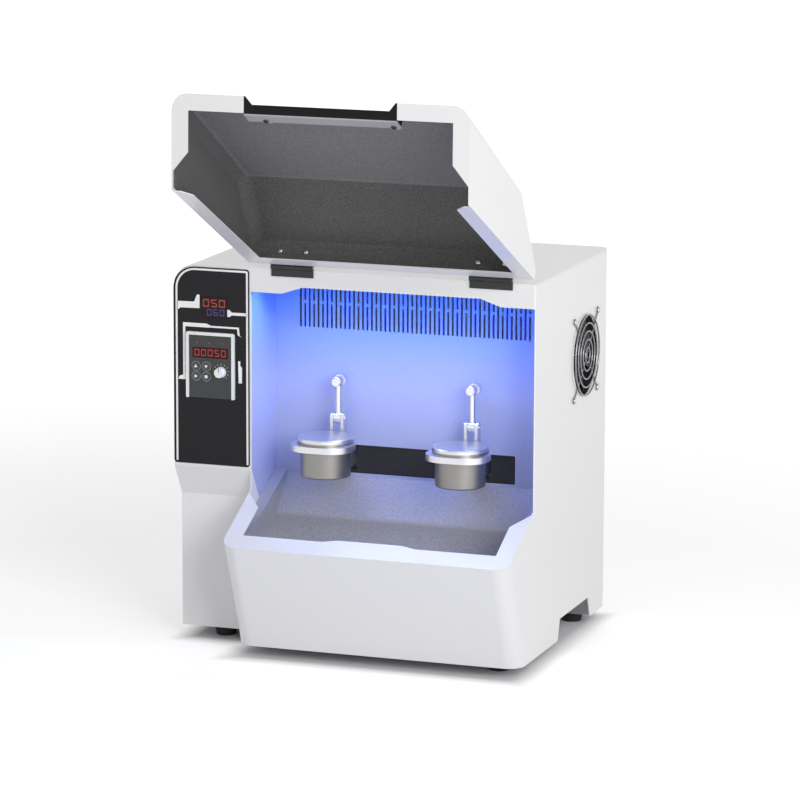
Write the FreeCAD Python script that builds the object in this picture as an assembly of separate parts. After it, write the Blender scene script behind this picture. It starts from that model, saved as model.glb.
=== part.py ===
import FreeCAD, Part
import math
import os

# Vibratory ball mill for the laboratory bench. Sizes in millimetres.
# X runs to the right, Y to the back, Z up. The floor is Z = 0, the casing's front plane Y = 0,
# and X = 0 is the middle of the casing. The lid is drawn closed and stands open at rest.

# Casing
CASE_W = 500.0
CASE_D = 330.0
CASE_TOP = 510.0
FOOT_H = 16.0
SHEET = 1.5
TOP_LEFT_R = 32.0
TOP_RIGHT_R = 3.0
REAR_R = 16.0
FRONT_R = 3.0
COLUMN_W = 108.0
RECESS_Y = 26.0
RECESS_TOP = 240.0
RECESS_SLOPE_H = 43.0

# Apron and its slanted rim
APRON_Y = -112.0
APRON_FOOT_Y = -54.0
RIM_FRONT_Z = 160.0
RIM_BEND_Z = 213.0
APRON_R = 22.0
RIM_SIDE_W = 23.0
RIM_FRONT_W = 28.0
RIM_BUMP_FROM_LEFT = (153.0, 240.0)
RIM_BUMP_H = 5.0
NOTCH_NEAR = 7.0
NOTCH_FAR = 35.0

# Header over the chamber's mouth
HEADER_H = 32.0
HEADER_RISE = 9.5
HEADER_ENDS = (73.0, 75.0)
HEADER_SLOPE = 28.0
HEADER_RETURN = 12.0

# Chamber
BACK_Y = 92.0
CEILING_DROP = 10.0
BACK_LOW_Z = 222.0
SLOT_Z = (226.0, 264.5)
SLOT_HALF = 144.3
VENT_DROP = 14.0
VENT_H = 66.5
VENT_BRIDGE_H = 33.3
VENT_BRIDGE = 4.0
VENT_INSET = 33.6
VENT_PITCH = 6.25
VENT_SLOT = 3.0
VENT_COUNT = 52

# Lamp behind the header
LIGHT_INSET = 20.0
LIGHT_Y = (16.0, 30.0)
LIGHT_H = 9.0
LIGHT_WEB = 2.0
LIGHT_FIT = 0.1

# Drip tray
TRAY_T = 1.2
TRAY_SLOPE_Y = 51.0
TRAY_SLOPE_Z = 174.0
TRAY_FLOOR_Z = 110.0
TRAY_FRONT_Y = -76.0
TRAY_LIP_Y = -92.0
TRAY_BEND = 8.0
STRIP_W = 16.0
STRIP_Z = 226.0
STRIP_SLOPE = 0.43
STRIP_END_Y = -84.0

# Lid, drawn closed
LID_SIDE_GAP = 1.0
LID_FRONT_GAP = 3.0
LID_RIM_GAP = 2.0
LID_FOLD_Y = -97.0
LID_FOLD_Z = 417.0
LID_TOP_Y = -36.0
LID_FOLD_R = 20.0
LID_TOP_R = 8.0
LID_CORNER_R = 20.0
LID_FRAME_W = 22.0
LID_OPEN_DEG = 116.5
LINER_T = 2.0

# Hinges
PIVOT_Y = -1.5
PIVOT_RISE = 4.0
BARREL_R = 4.0
HINGE_PIN_R = 2.0
HINGE_W = 58.0
HINGE_OFFSET = 136.0
LEAF_T = 2.0
LEAF_REACH = 34.0
HINGE_SCREW_SPACING = 36.0

# Finger pull in the lid's lower front edge
PULL_W = 200.0
PULL_SHIFT = 1.0
PULL_H = 27.0
PULL_DEPTH = 11.0
PULL_BAR = 8.0
PULL_WALL = 2.0
PULL_RAMP = 10.0
BRACKET_T = 1.5
BRACKET_GAP = 0.2
BRACKET_TOP = 31.0
BRACKET_LOBE = 3.0

# Stations
STATION_SPACING = 186.4
STATION_SHIFT = -3.7
JAR_Y = 18.0
JAR_R = 33.0
JAR_WALL = 3.5
JAR_BASE_T = 4.0
JAR_BOTTOM_Z = 236.5
RING_Z = 273.0
RING_T = 8.0
RING_R = 42.0
RING_CLEAR = 0.35
JAR_FLANGE_R = 37.0
JAR_FLANGE_T = 3.0
JAR_COVER_T = 5.0
SEAT_GAP = 0.1
BALL_R = 5.0
ARM_W = 28.0
ARM_Z = (236.0, 258.0)
ARM_END_Y = 150.0
ARM_BEND_Y = 84.0
CLAMP_Y = 67.0
CLAMP_Z = 305.0
EAR_T = 4.0
HUB_W = 10.0
HUB_R = 7.0
EAR_GAP = 0.4
CLAMP_PIN_R = 3.0
LEVER_R = 4.0
EYE_OFFSET = 49.0
EYE_R = 6.5
EYE_HALF = 5.0
PLUNGER_R = 3.0
PLUNGER_END_Y = 87.0
PAD_R = 6.5
PAD_T = 5.0
PAD_GAP = 1.0
NUT_R = 8.0
NUT_T = 9.0
RUN_FIT = 0.05

# Vibrating frame, springs and motor
STROKE = 3.5
FRAME_Z = 120.0
FRAME_T = 8.0
FRAME_HALF_X = 120.0
FRAME_FRONT_Y = 110.0
FRAME_REAR_GAP = 20.0
FRONT_WEB_Y = 118.0
SPRING_X = 100.0
SPRING_INSET = 25.0
SPRING_R = 16.0
SPRING_WIRE_R = 2.2
SPRING_TURNS = 5
SPRING_FOOT_Z = 40.0
SEAT_R = 22.0
SUB_BASE_T = 10.0
MOTOR_Y = 215.0
MOTOR_Z = 190.0
MOTOR_R = 50.0
MOTOR_HALF_L = 75.0
MOTOR_COVER_R = 43.0
MOTOR_COVER_L = 40.0
BEARING_R = 20.0
BEARING_W = 12.0
SHAFT_R = 10.0
ROTOR_R = 30.0
WEIGHT_R = 34.0
WEIGHT_T = 22.0
WEIGHT_FIT = 0.02

# Fan in the right side
FAN_FROM_REAR = 108.3
FAN_FROM_TOP = 129.2
FAN_SIZE = 119.0
FAN_T = 25.0
FAN_BORE_R = 56.0
FAN_BLADE_R = 54.0
FAN_HUB_R = 20.0
FAN_HOLE_R = 54.0
FAN_BOLT = 52.5
FAN_BLADES = 7
GUARD_WIRE_R = 1.1
GUARD_RINGS = (10.0, 21.0, 32.0, 43.0, 54.0)

# Control column
PANEL_T = 1.2
PANEL_LOW_Z = 243.5
PANEL_TOP_GAP = 3.0
PANEL_INSET = 0.6
TIMER_FROM_LEFT = (40.0, 77.0)
TIMER_FROM_TOP = (70.0, 41.5)
DRIVE_FROM_LEFT = (23.4, 83.5)
DRIVE_FROM_TOP = (177.0, 93.0)
DRIVE_DEPTH = 100.0
DRIVE_PROUD = 2.5
BEZEL_W = 4.0
BEZEL_PROUD = 4.0
KEY_R = 5.2
KEYS_FROM_LEFT = (33.4, 48.0)
KEYS_FROM_TOP = (134.5, 148.0)
KEY_TRAVEL = 1.0
KEY_CLEAR = 0.3
DIAL_FROM_LEFT = 68.7
DIAL_FROM_TOP = 140.8
DIAL_R = 7.5
DIAL_T = 9.0

# Rear
REAR_COVER_EDGE = 14.0
REAR_COVER_LOW = 26.0
REAR_COVER_DROP = 12.0
LOUVRE_X = (-60.0, 70.0)
LOUVRE_Z = 250.0
LOUVRE_PITCH = 12.0
LOUVRE_W = 90.0
LOUVRE_H = 5.0
LOUVRE_ROWS = 9
INLET_FROM_LEFT = 54.0
INLET_ROOM = (28.0, 60.0)
INLET_Z = 74.0
ROCKER_DEG = 16.0

# Feet and hand pockets
FOOT_R = 16.0
FOOT_INSET = 36.0
FOOT_REAR_GAP = 40.0
FRONT_FEET = ((50.0, 58.0), (46.0, 2.0))
POCKET_Y = (104.0, 262.0)
POCKET_Z = 45.0
POCKET_DEPTH = 42.0

HALF_W = CASE_W / 2
COLUMN_X = -HALF_W + COLUMN_W
MOUTH_X0 = COLUMN_X + SHEET
MOUTH_X1 = HALF_W - SHEET
LID_X0 = COLUMN_X + LID_SIDE_GAP
LID_X1 = HALF_W - LID_SIDE_GAP
LID_MID_X = (LID_X0 + LID_X1) / 2
RIM_SLOPE = (RIM_BEND_Z - RIM_FRONT_Z) / -APRON_Y
RIM_BUMP = tuple(COLUMN_X + distance for distance in RIM_BUMP_FROM_LEFT)
FAR = 1000.0
HEADER_Z = CASE_TOP - HEADER_H
HEADER_RAISED = (COLUMN_X + HEADER_ENDS[0], HALF_W - HEADER_ENDS[1])
CEILING_Z = CASE_TOP - CEILING_DROP
VENT_Z = (CEILING_Z - VENT_DROP - VENT_H, CEILING_Z - VENT_DROP)
VENT_BRIDGE_Z = VENT_Z[0] + VENT_BRIDGE_H
VENT_X0 = MOUTH_X0 + VENT_INSET
PIVOT_Z = CASE_TOP + PIVOT_RISE
PULL_X = (LID_MID_X + PULL_SHIFT - PULL_W / 2, LID_MID_X + PULL_SHIFT + PULL_W / 2)
STATION_MID_X = LID_MID_X + STATION_SHIFT
FRAME_Y = (FRAME_FRONT_Y, CASE_D - FRAME_REAR_GAP)
SPRING_Y = (FRAME_Y[0] + SPRING_INSET, FRAME_Y[1] - SPRING_INSET)
PANEL_Z = (PANEL_LOW_Z, CASE_TOP - PANEL_TOP_GAP)
FAN_Y = CASE_D - FAN_FROM_REAR
FAN_Z = CASE_TOP - FAN_FROM_TOP
TIMER_X = tuple(distance - HALF_W for distance in TIMER_FROM_LEFT)
TIMER_Z = tuple(CASE_TOP - distance for distance in TIMER_FROM_TOP)
DRIVE_X = tuple(distance - HALF_W for distance in DRIVE_FROM_LEFT)
DRIVE_Z = tuple(CASE_TOP - distance for distance in DRIVE_FROM_TOP)
KEY_X = tuple(distance - HALF_W for distance in KEYS_FROM_LEFT)
KEY_Z = tuple(CASE_TOP - distance for distance in KEYS_FROM_TOP)
DIAL_X = DIAL_FROM_LEFT - HALF_W
DIAL_Z = CASE_TOP - DIAL_FROM_TOP
INLET_X = INLET_FROM_LEFT - HALF_W
REAR_COVER_X = HALF_W - REAR_COVER_EDGE
REAR_COVER_Z = (REAR_COVER_LOW, CASE_TOP - REAR_COVER_DROP)
FEET = ((FRONT_FEET[0][0] - HALF_W, FRONT_FEET[0][1]), (HALF_W - FRONT_FEET[1][0], FRONT_FEET[1][1]),
        (HALF_W - FOOT_INSET, CASE_D - FOOT_REAR_GAP), (FOOT_INSET - HALF_W, CASE_D - FOOT_REAR_GAP))

# The origin of the files: on the floor, under the middle of the whole with its lid open
ORIGIN_Y = 29.4


def vec(x, y, z):
    return FreeCAD.Vector(x, y, z)


def box(x0, x1, y0, y1, z0, z1):
    return Part.makeBox(x1 - x0, y1 - y0, z1 - z0, vec(x0, y0, z0))


def rod(axis, a, b, radius, start, end):
    """Cylinder along axis, whose other two coordinates, in X, Y, Z order, are a and b."""
    base, direction = {
        "x": (vec(start, a, b), vec(1, 0, 0)),
        "y": (vec(a, start, b), vec(0, 1, 0)),
        "z": (vec(a, b, start), vec(0, 0, 1)),
    }[axis]
    return Part.makeCylinder(radius, end - start, base, direction)


def tube(axis, a, b, outer, inner, start, end):
    return rod(axis, a, b, outer, start, end).cut(rod(axis, a, b, inner, start - 1, end + 1))


def outline(points, radii, place):
    """Closed face through 2-D points, each corner rounded by its radius, placed in space."""
    count = len(points)
    if not isinstance(radii, (list, tuple)):
        radii = [radii] * count
    stations = []
    for i, (u, v) in enumerate(points):
        pu, pv = points[i - 1]
        nu, nv = points[(i + 1) % count]
        if radii[i] <= 0:
            stations.append(((u, v), None, (u, v)))
            continue
        la, lc = math.hypot(pu - u, pv - v), math.hypot(nu - u, nv - v)
        au, av = (pu - u) / la, (pv - v) / la
        cu, cv = (nu - u) / lc, (nv - v) / lc
        half = math.acos(max(-1.0, min(1.0, au * cu + av * cv))) / 2
        reach = radii[i] / math.tan(half)
        bu, bv = au + cu, av + cv
        lb = math.hypot(bu, bv)
        mid = radii[i] / math.sin(half) - radii[i]
        start = (u + au * reach, v + av * reach)
        end = (u + cu * reach, v + cv * reach)
        stations.append((start, (u + bu / lb * mid, v + bv / lb * mid), end))
    edges = []
    for i, (start, mid, end) in enumerate(stations):
        if mid is not None:
            edges.append(Part.Arc(place(*start), place(*mid), place(*end)).toShape())
        nxt = stations[(i + 1) % count][0]
        if math.hypot(nxt[0] - end[0], nxt[1] - end[1]) > 1e-6:
            edges.append(Part.LineSegment(place(*end), place(*nxt)).toShape())
    return Part.Face(Part.Wire(edges))


def prism(axis, points, start, end, radii=0.0):
    """Extruded outline. The points are (y, z) along x, (x, z) along y and (x, y) along z."""
    place, run = {
        "x": (lambda u, v: vec(start, u, v), vec(end - start, 0, 0)),
        "y": (lambda u, v: vec(u, start, v), vec(0, end - start, 0)),
        "z": (lambda u, v: vec(u, v, start), vec(0, 0, end - start)),
    }[axis]
    return outline(points, radii, place).extrude(run)


def offset_path(points, distance):
    """Open path moved to its left by a distance, corner by corner."""
    lines = []
    for (u0, v0), (u1, v1) in zip(points, points[1:]):
        length = math.hypot(u1 - u0, v1 - v0)
        nu, nv = -(v1 - v0) / length * distance, (u1 - u0) / length * distance
        lines.append(((u0 + nu, v0 + nv), (u1 + nu, v1 + nv)))
    moved = [lines[0][0]]
    for (a, b), (c, d) in zip(lines, lines[1:]):
        ru, rv, su, sv = b[0] - a[0], b[1] - a[1], d[0] - c[0], d[1] - c[1]
        t = ((c[0] - a[0]) * sv - (c[1] - a[1]) * su) / (ru * sv - rv * su)
        moved.append((a[0] + ru * t, a[1] + rv * t))
    moved.append(lines[-1][1])
    return moved


def bent_sheet(axis, points, thickness, bend, start, end):
    """Sheet folded along an open path. It lies to the path's left, with equal bends."""
    other = offset_path(points, thickness)
    near, far = [0.0], [0.0]
    for (a, b, c) in zip(points, points[1:], points[2:]):
        left = (b[0] - a[0]) * (c[1] - b[1]) - (b[1] - a[1]) * (c[0] - b[0]) > 0
        near.append(bend + thickness if left else bend)
        far.append(bend if left else bend + thickness)
    near.append(0.0)
    far.append(0.0)
    return prism(axis, points + other[::-1], start, end, near + far[::-1])


def bent_block(p, q, x0, x1, radius, depth, inset=0.0):
    """Space behind the slanted face from p to q (y, z), with both upright edges rounded."""
    length = math.hypot(q[0] - p[0], q[1] - p[1])
    uy, uz = (q[0] - p[0]) / length, (q[1] - p[1]) / length
    ny, nz = -uz, uy
    if ny > 0:
        ny, nz = -ny, -nz
    oy, oz = p[0] - uy * FAR / 2 - ny * inset, p[1] - uz * FAR / 2 - nz * inset
    corners = [(x0 + inset, -depth), (x1 - inset, -depth), (x1 - inset, 0.0), (x0 + inset, 0.0)]
    radii = [0.0, 0.0, radius - inset, radius - inset]
    face = outline(corners, radii, lambda x, n: vec(x, oy + ny * n, oz + nz * n))
    return face.extrude(vec(0, uy * (FAR + length), uz * (FAR + length)))


def common(shape, *others):
    for other in others:
        shape = shape.common(other)
    return shape


def cut(shape, *others):
    for other in others:
        shape = shape.cut(other)
    return shape


def fuse(shape, *others):
    return shape.multiFuse(list(others)).removeSplitter()


def whole(shape):
    """One solid or a group of solids, with no wrapping compounds."""
    solids = shape.Solids
    return solids[0] if len(solids) == 1 else Part.makeCompound(solids)


def rim_z(y, lift=0.0):
    """Height of the slanted rim plane, or of a plane that lies above it by lift."""
    return RIM_BEND_Z + RIM_SLOPE * y + lift * math.hypot(1.0, RIM_SLOPE)


def rim_prism(points, low, high, radii=0.0):
    """Solid square to the rim, from (x, s) points, where s runs down the slope from the bend."""
    slope_len = math.hypot(1.0, RIM_SLOPE)
    down = vec(0, -1 / slope_len, -RIM_SLOPE / slope_len)
    normal = vec(0, -RIM_SLOPE / slope_len, 1 / slope_len)
    place = lambda x, s: vec(x, 0, RIM_BEND_Z) + down * s + normal * low
    return outline(points, radii, place).extrude(normal * (high - low))


# Casing

def case_solid(inset):
    x0, x1 = -HALF_W + inset, HALF_W - inset
    z0 = FOOT_H - (FAR / 10 if inset else 0.0)
    plan = [(x0, inset), (x1, inset), (x1, CASE_D - inset), (x0, CASE_D - inset)]
    plan_r = [FRONT_R - inset, FRONT_R - inset, REAR_R - inset, REAR_R - inset]
    front = [(x0, z0), (x1, z0), (x1, CASE_TOP - inset), (x0, CASE_TOP - inset)]
    front_r = [0.0, 0.0, TOP_RIGHT_R - inset, TOP_LEFT_R - inset]
    body = common(prism("z", plan, z0, CASE_TOP - inset, plan_r),
                  prism("y", front, 0.0, CASE_D, front_r))
    slope = [(0.0, CASE_TOP), (0.0, RECESS_TOP), (RECESS_Y, RECESS_TOP - RECESS_SLOPE_H), (RECESS_Y, z0 - 1)]
    path = offset_path(slope, inset)
    recess = prism("x", [(-FAR, CASE_TOP)] + path + [(-FAR, z0 - 1)], -FAR, COLUMN_X + inset)
    return body.cut(recess)


def apron_solid(inset):
    z0 = FOOT_H - (FAR / 10 if inset else 0.0)
    front = [(APRON_FOOT_Y, FOOT_H), (APRON_Y, RIM_FRONT_Z)]
    lean = (APRON_Y - APRON_FOOT_Y) / (RIM_FRONT_Z - FOOT_H)
    low = (APRON_FOOT_Y + lean * (z0 - FOOT_H), z0)
    back = RECESS_Y
    path = offset_path([(back, RIM_BEND_Z), (0.0, RIM_BEND_Z), front[1], low], inset)
    x0, x1 = COLUMN_X + inset, HALF_W - inset
    slab = prism("x", path + [(back, z0)], x0, x1)
    return slab.common(bent_block(front[0], front[1], COLUMN_X, HALF_W, APRON_R, FAR, inset))


def mouth_outline(x0, x1, low, drop=0.0):
    """The chamber's mouth in the front plane, with the header's raised middle."""
    z, raised = HEADER_Z + drop, HEADER_Z + HEADER_RISE + drop
    a, b = HEADER_RAISED
    return [(x0, low), (x1, low), (x1, z), (b + HEADER_SLOPE, z), (b, raised), (a, raised),
            (a - HEADER_SLOPE, z), (x0, z)]


def rim_window():
    """The rim's inner outline as (x, s), with the notches at the bend and the raised middle."""
    x0, x1 = MOUTH_X0, MOUTH_X1
    left, right = COLUMN_X + RIM_SIDE_W, HALF_W - RIM_SIDE_W
    front = math.hypot(1.0, RIM_SLOPE) * -APRON_Y - RIM_FRONT_W
    a, b = RIM_BUMP
    return [(x0, -4.0), (x0, NOTCH_NEAR), (left, NOTCH_FAR), (left, front),
            (a - 20.0, front), (a, front - RIM_BUMP_H), (b, front - RIM_BUMP_H), (b + 20.0, front),
            (right, front), (right, NOTCH_FAR), (x1, NOTCH_NEAR), (x1, -4.0)]


def notch_outline():
    return [(POCKET_Y[0] + 5, FOOT_H - 1), (POCKET_Y[0] + 15, POCKET_Z - 1),
            (POCKET_Y[1] - 15, POCKET_Z - 1), (POCKET_Y[1] - 5, FOOT_H - 1)]


def casing():
    """The painted sheet shell, cut into its fascia, apron, sides and top."""
    shell = cut(case_solid(0.0).fuse(apron_solid(0.0)), case_solid(SHEET).fuse(apron_solid(SHEET)))
    shell = cut(shell, prism("y", mouth_outline(MOUTH_X0, MOUTH_X1, RIM_BEND_Z), -1.0, SHEET + 1),
                rim_prism(rim_window(), -12.0, 8.0))
    shell = cut(shell, box(-HALF_W + REAR_R + 8, HALF_W - REAR_R - 8, CASE_D - 4, CASE_D + 1,
                           FOOT_H - 1, CASE_TOP - REAR_R))
    shell = cut(shell, prism("x", notch_outline(), -FAR, FAR))
    shell = cut(shell, rod("x", FAN_Y, FAN_Z, FAN_HOLE_R, HALF_W - 10, HALF_W + 10))
    for y, z in fan_bolts():
        shell = cut(shell, rod("x", y, z, 2.2, HALF_W - 10, HALF_W + 10))
    shell = cut(shell, box(DRIVE_X[0], DRIVE_X[1], -1, SHEET + 1, DRIVE_Z[0], DRIVE_Z[1]),
                box(TIMER_X[0], TIMER_X[1], -1, SHEET + 1, TIMER_Z[0], TIMER_Z[1]))
    regions = [
        ("front_apron", [box(COLUMN_X, FAR, -FAR, 0.0, -FAR, RIM_BEND_Z + 1),
                         box(COLUMN_X, COLUMN_X + SHEET, -1, RECESS_Y + SHEET, -FAR, RECESS_TOP + 3)]),
        ("front_fascia", [box(-FAR, FAR, -1, SHEET, RIM_BEND_Z, FAR),
                          box(-HALF_W + SHEET, COLUMN_X, -1, RECESS_Y + SHEET, -FAR, RECESS_TOP + 3)]),
        ("casing_left", [box(-FAR, -HALF_W + TOP_LEFT_R, -FAR, FAR, -FAR, FAR)]),
        ("casing_right", [box(HALF_W - REAR_R - 8, FAR, -FAR, FAR, -FAR, CASE_TOP - TOP_RIGHT_R)]),
        ("casing_top", [box(-FAR, FAR, -FAR, FAR, -FAR, FAR)]),
    ]
    pieces = {}
    rest = shell
    for name, boxes in regions:
        region = boxes[0] if len(boxes) == 1 else boxes[0].fuse(boxes[1])
        pieces[name] = rest.common(region)
        rest = rest.cut(region)
    lip = cut(prism("y", mouth_outline(MOUTH_X0, MOUTH_X1 - SHEET, RIM_BEND_Z, SHEET), SHEET, HEADER_RETURN),
              prism("y", mouth_outline(MOUTH_X0 - 1, MOUTH_X1 + 1, RIM_BEND_Z - 9), SHEET - 1,
                    HEADER_RETURN + 1))
    pieces["front_fascia"] = fuse(pieces["front_fascia"], lip)
    return pieces


def base_pan():
    x1 = HALF_W - SHEET
    y1 = CASE_D - SHEET
    plan = [(-x1, RECESS_Y + SHEET), (MOUTH_X0, RECESS_Y + SHEET), (MOUTH_X0, APRON_FOOT_Y + 2.5),
            (x1, APRON_FOOT_Y + 2.5), (x1, y1), (-x1, y1)]
    pan = prism("z", plan, FOOT_H, FOOT_H + SHEET, [0, 0, APRON_R, APRON_R, REAR_R, REAR_R])
    pan = fuse(pan, box(-x1 + 30, x1 - 30, y1 - SHEET, y1, FOOT_H, FOOT_H + 20))
    for side in (-1, 1):
        outer = [(side * (x1 - POCKET_DEPTH), POCKET_Y[0]), (side * x1, POCKET_Y[1])]
        xa, xb = sorted((outer[0][0], outer[1][0]))
        hood = box(xa, xb, POCKET_Y[0], POCKET_Y[1], FOOT_H, POCKET_Z + SHEET)
        hollow = box(xa + (SHEET if side > 0 else -9), xb - (SHEET if side < 0 else -9),
                     POCKET_Y[0] + SHEET, POCKET_Y[1] - SHEET, FOOT_H - 1, POCKET_Z)
        pan = pan.fuse(hood).cut(hollow)
    for x, y in FEET:
        pan = pan.cut(rod("z", x, y, 2.6, FOOT_H - 1, FOOT_H + 5))
    return pan.removeSplitter()


def rubber_feet():
    feet = []
    for x, y in FEET:
        cone = Part.makeCone(FOOT_R - 3.0, FOOT_R, FOOT_H - 3.0, vec(x, y, 0))
        collar = rod("z", x, y, FOOT_R, FOOT_H - 3.0, FOOT_H)
        stud = rod("z", x, y, 2.5, FOOT_H, FOOT_H + SHEET + 3)
        feet.append(cone.fuse([collar, stud]).cut(rod("z", x, y, 5.0, -1, 4.0)))
    return Part.makeCompound(feet)


def sub_base():
    """Heavy plate under the springs, with their lower seats."""
    mid = STATION_MID_X
    reach = SPRING_X + SEAT_R + 4
    z0 = FOOT_H + SHEET
    plate = box(mid - reach, mid + reach, SPRING_Y[0] - SEAT_R - 4, SPRING_Y[1] + SEAT_R + 4,
                z0, z0 + SUB_BASE_T)
    for x, y in spring_places():
        plate = plate.fuse([rod("z", x, y, SEAT_R, z0 + SUB_BASE_T, SPRING_FOOT_Z),
                            rod("z", x, y, SPRING_R - SPRING_WIRE_R - 1.2, SPRING_FOOT_Z, SPRING_FOOT_Z + 10)])
    return plate.removeSplitter()


def rear_cover():
    z0, z1 = REAR_COVER_Z
    plate = prism("y", [(-REAR_COVER_X, z0), (REAR_COVER_X, z0), (REAR_COVER_X, z1), (-REAR_COVER_X, z1)],
                  CASE_D, CASE_D + SHEET, 6.0)
    slots = []
    for x in LOUVRE_X:
        for row in range(LOUVRE_ROWS):
            z = LOUVRE_Z + LOUVRE_PITCH * row
            slots.append(prism("y", [(x, z), (x + LOUVRE_W, z), (x + LOUVRE_W, z + LOUVRE_H), (x, z + LOUVRE_H)],
                               CASE_D - 1, CASE_D + SHEET + 1, LOUVRE_H / 2 - 0.1))
    wide, high = INLET_ROOM
    inlet = box(INLET_X - wide / 2, INLET_X + wide / 2, CASE_D - 1, CASE_D + SHEET + 1,
                INLET_Z - high / 2, INLET_Z + high / 2)
    plate = cut(plate, Part.makeCompound(slots), inlet)
    for x, z in rear_screws():
        plate = plate.cut(rod("y", x, z, 2.1, CASE_D - 1, CASE_D + SHEET + 1))
    return plate


def rear_screws():
    z0, z1 = REAR_COVER_Z
    return [(x, z) for x in (-REAR_COVER_X + 8, REAR_COVER_X - 8)
            for z in (z0 + 14, (z0 + z1) / 2, z1 - 8)]


# Chamber

def chamber_liner(apron):
    """Left wall, ceiling and right wall, folded from one sheet."""
    z0 = BACK_LOW_Z - 40
    y1 = BACK_Y + SHEET
    left = box(COLUMN_X, MOUTH_X0, SHEET, y1, z0, CEILING_Z + SHEET)
    top = box(COLUMN_X, MOUTH_X1, SHEET, y1, CEILING_Z, CEILING_Z + SHEET)
    right = box(MOUTH_X1 - SHEET, MOUTH_X1, FRONT_R, y1, z0, CEILING_Z + SHEET)
    corner = box(MOUTH_X1 - SHEET, MOUTH_X1 + 1, SHEET - 1, FRONT_R, CEILING_Z - 1, CEILING_Z + SHEET + 1)
    return cut(fuse(left, top.cut(corner), right), apron)


def back_wall():
    y1 = BACK_Y + SHEET
    wall = box(MOUTH_X0, MOUTH_X1 - SHEET, BACK_Y, y1, BACK_LOW_Z, CEILING_Z)
    mid = STATION_MID_X
    slot = prism("y", [(mid - SLOT_HALF, SLOT_Z[0]), (mid + SLOT_HALF, SLOT_Z[0]),
                       (mid + SLOT_HALF, SLOT_Z[1]), (mid - SLOT_HALF, SLOT_Z[1])], BACK_Y - 1, y1 + 1, 2.0)
    cuts = [slot]
    for i in range(VENT_COUNT):
        x = VENT_X0 + VENT_PITCH * i
        spans = [VENT_Z]
        if i % 2:
            spans = [(VENT_Z[0], VENT_BRIDGE_Z - VENT_BRIDGE / 2), (VENT_BRIDGE_Z + VENT_BRIDGE / 2, VENT_Z[1])]
        cuts += [box(x, x + VENT_SLOT, BACK_Y - 1, y1 + 1, low, high) for low, high in spans]
    return wall.cut(Part.makeCompound(cuts))


def slot_seal():
    """Rubber seal behind the slot, with a window round each arm."""
    mid = STATION_MID_X
    seal = box(mid - SLOT_HALF - 8, mid + SLOT_HALF + 8, BACK_Y + SHEET, BACK_Y + SHEET + 4,
               SLOT_Z[0] - 8, SLOT_Z[1] + 8)
    room = STROKE + 1.0
    for x in station_xs():
        seal = seal.cut(prism("y", [(x - ARM_W / 2 - 3, ARM_Z[0] - room), (x + ARM_W / 2 + 3, ARM_Z[0] - room),
                                    (x + ARM_W / 2 + 3, ARM_Z[1] + room), (x - ARM_W / 2 - 3, ARM_Z[1] + room)],
                              BACK_Y, BACK_Y + 10, 2.0))
    return seal


def strip_z(y):
    return STRIP_Z + STRIP_SLOPE * (y - BACK_Y)


def drip_tray():
    """Folded basin: slope from the back wall, floor, leaning front, sides and slanted flanges."""
    path = [(BACK_Y - 1, BACK_LOW_Z + 0.8), (TRAY_SLOPE_Y, TRAY_SLOPE_Z), (TRAY_SLOPE_Y - 2, TRAY_FLOOR_Z),
            (TRAY_FRONT_Y, TRAY_FLOOR_Z), (TRAY_LIP_Y, strip_z(TRAY_LIP_Y))]
    x0 = MOUTH_X0 + STRIP_W
    x1 = MOUTH_X1 - SHEET - STRIP_W
    floor = bent_sheet("x", path, TRAY_T, TRAY_BEND, x0, x1)
    lip = [(BACK_Y, strip_z(BACK_Y)), (TRAY_LIP_Y, strip_z(TRAY_LIP_Y))]
    side = [lip[0]] + offset_path(path, TRAY_T)[:-1] + [(TRAY_LIP_Y - TRAY_T, lip[1][1] - 1), lip[1]]
    side_r = [0, 0] + [TRAY_BEND + TRAY_T] * 3 + [0, 0]
    plates = [prism("x", side, x0 - TRAY_T, x0, side_r), prism("x", side, x1, x1 + TRAY_T, side_r)]
    strip = [lip[0], (STRIP_END_Y, strip_z(STRIP_END_Y))]
    strip += [(y, z - TRAY_T) for y, z in strip[::-1]]
    plates.append(prism("x", strip, MOUTH_X0 + 0.3, x0))
    plates.append(prism("x", strip, x1, MOUTH_X1 - SHEET - 0.3))
    return fuse(floor, *plates)


def light_bar():
    """Channel under the ceiling behind the header."""
    x0, x1 = MOUTH_X0 + LIGHT_INSET, MOUTH_X1 - LIGHT_INSET
    y0, y1 = LIGHT_Y
    channel = box(x0, x1, y0, y1, CEILING_Z - LIGHT_H, CEILING_Z)
    return channel.cut(box(x0 - 1, x1 + 1, y0 + SHEET, y1 - SHEET, CEILING_Z - LIGHT_H - 1, CEILING_Z - LIGHT_WEB))


def light_diffuser():
    x0, x1 = MOUTH_X0 + LIGHT_INSET, MOUTH_X1 - LIGHT_INSET
    y0, y1 = LIGHT_Y[0] + SHEET + LIGHT_FIT, LIGHT_Y[1] - SHEET - LIGHT_FIT
    top, edge = CEILING_Z - LIGHT_H + 1, CEILING_Z - LIGHT_H - 1
    return prism("x", [(y0, top), (y1, top), (y1, edge), ((y0 + y1) / 2, edge - 2), (y0, edge)], x0 + 0.5, x1 - 0.5,
                 [0, 0, 1.0, 4.0, 1.0])


# Lid, drawn closed

def lid_profile(inset):
    z_low = rim_z(-LID_FRONT_GAP, LID_RIM_GAP)
    return offset_path([(-LID_FRONT_GAP, CASE_TOP - 60), (-LID_FRONT_GAP, CASE_TOP), (LID_TOP_Y, CASE_TOP),
                        (LID_FOLD_Y, LID_FOLD_Z), (APRON_Y, rim_z(APRON_Y, LID_RIM_GAP)),
                        (-LID_FRONT_GAP, z_low), (-LID_FRONT_GAP, CASE_TOP - 60)], inset)[:-1]


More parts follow.
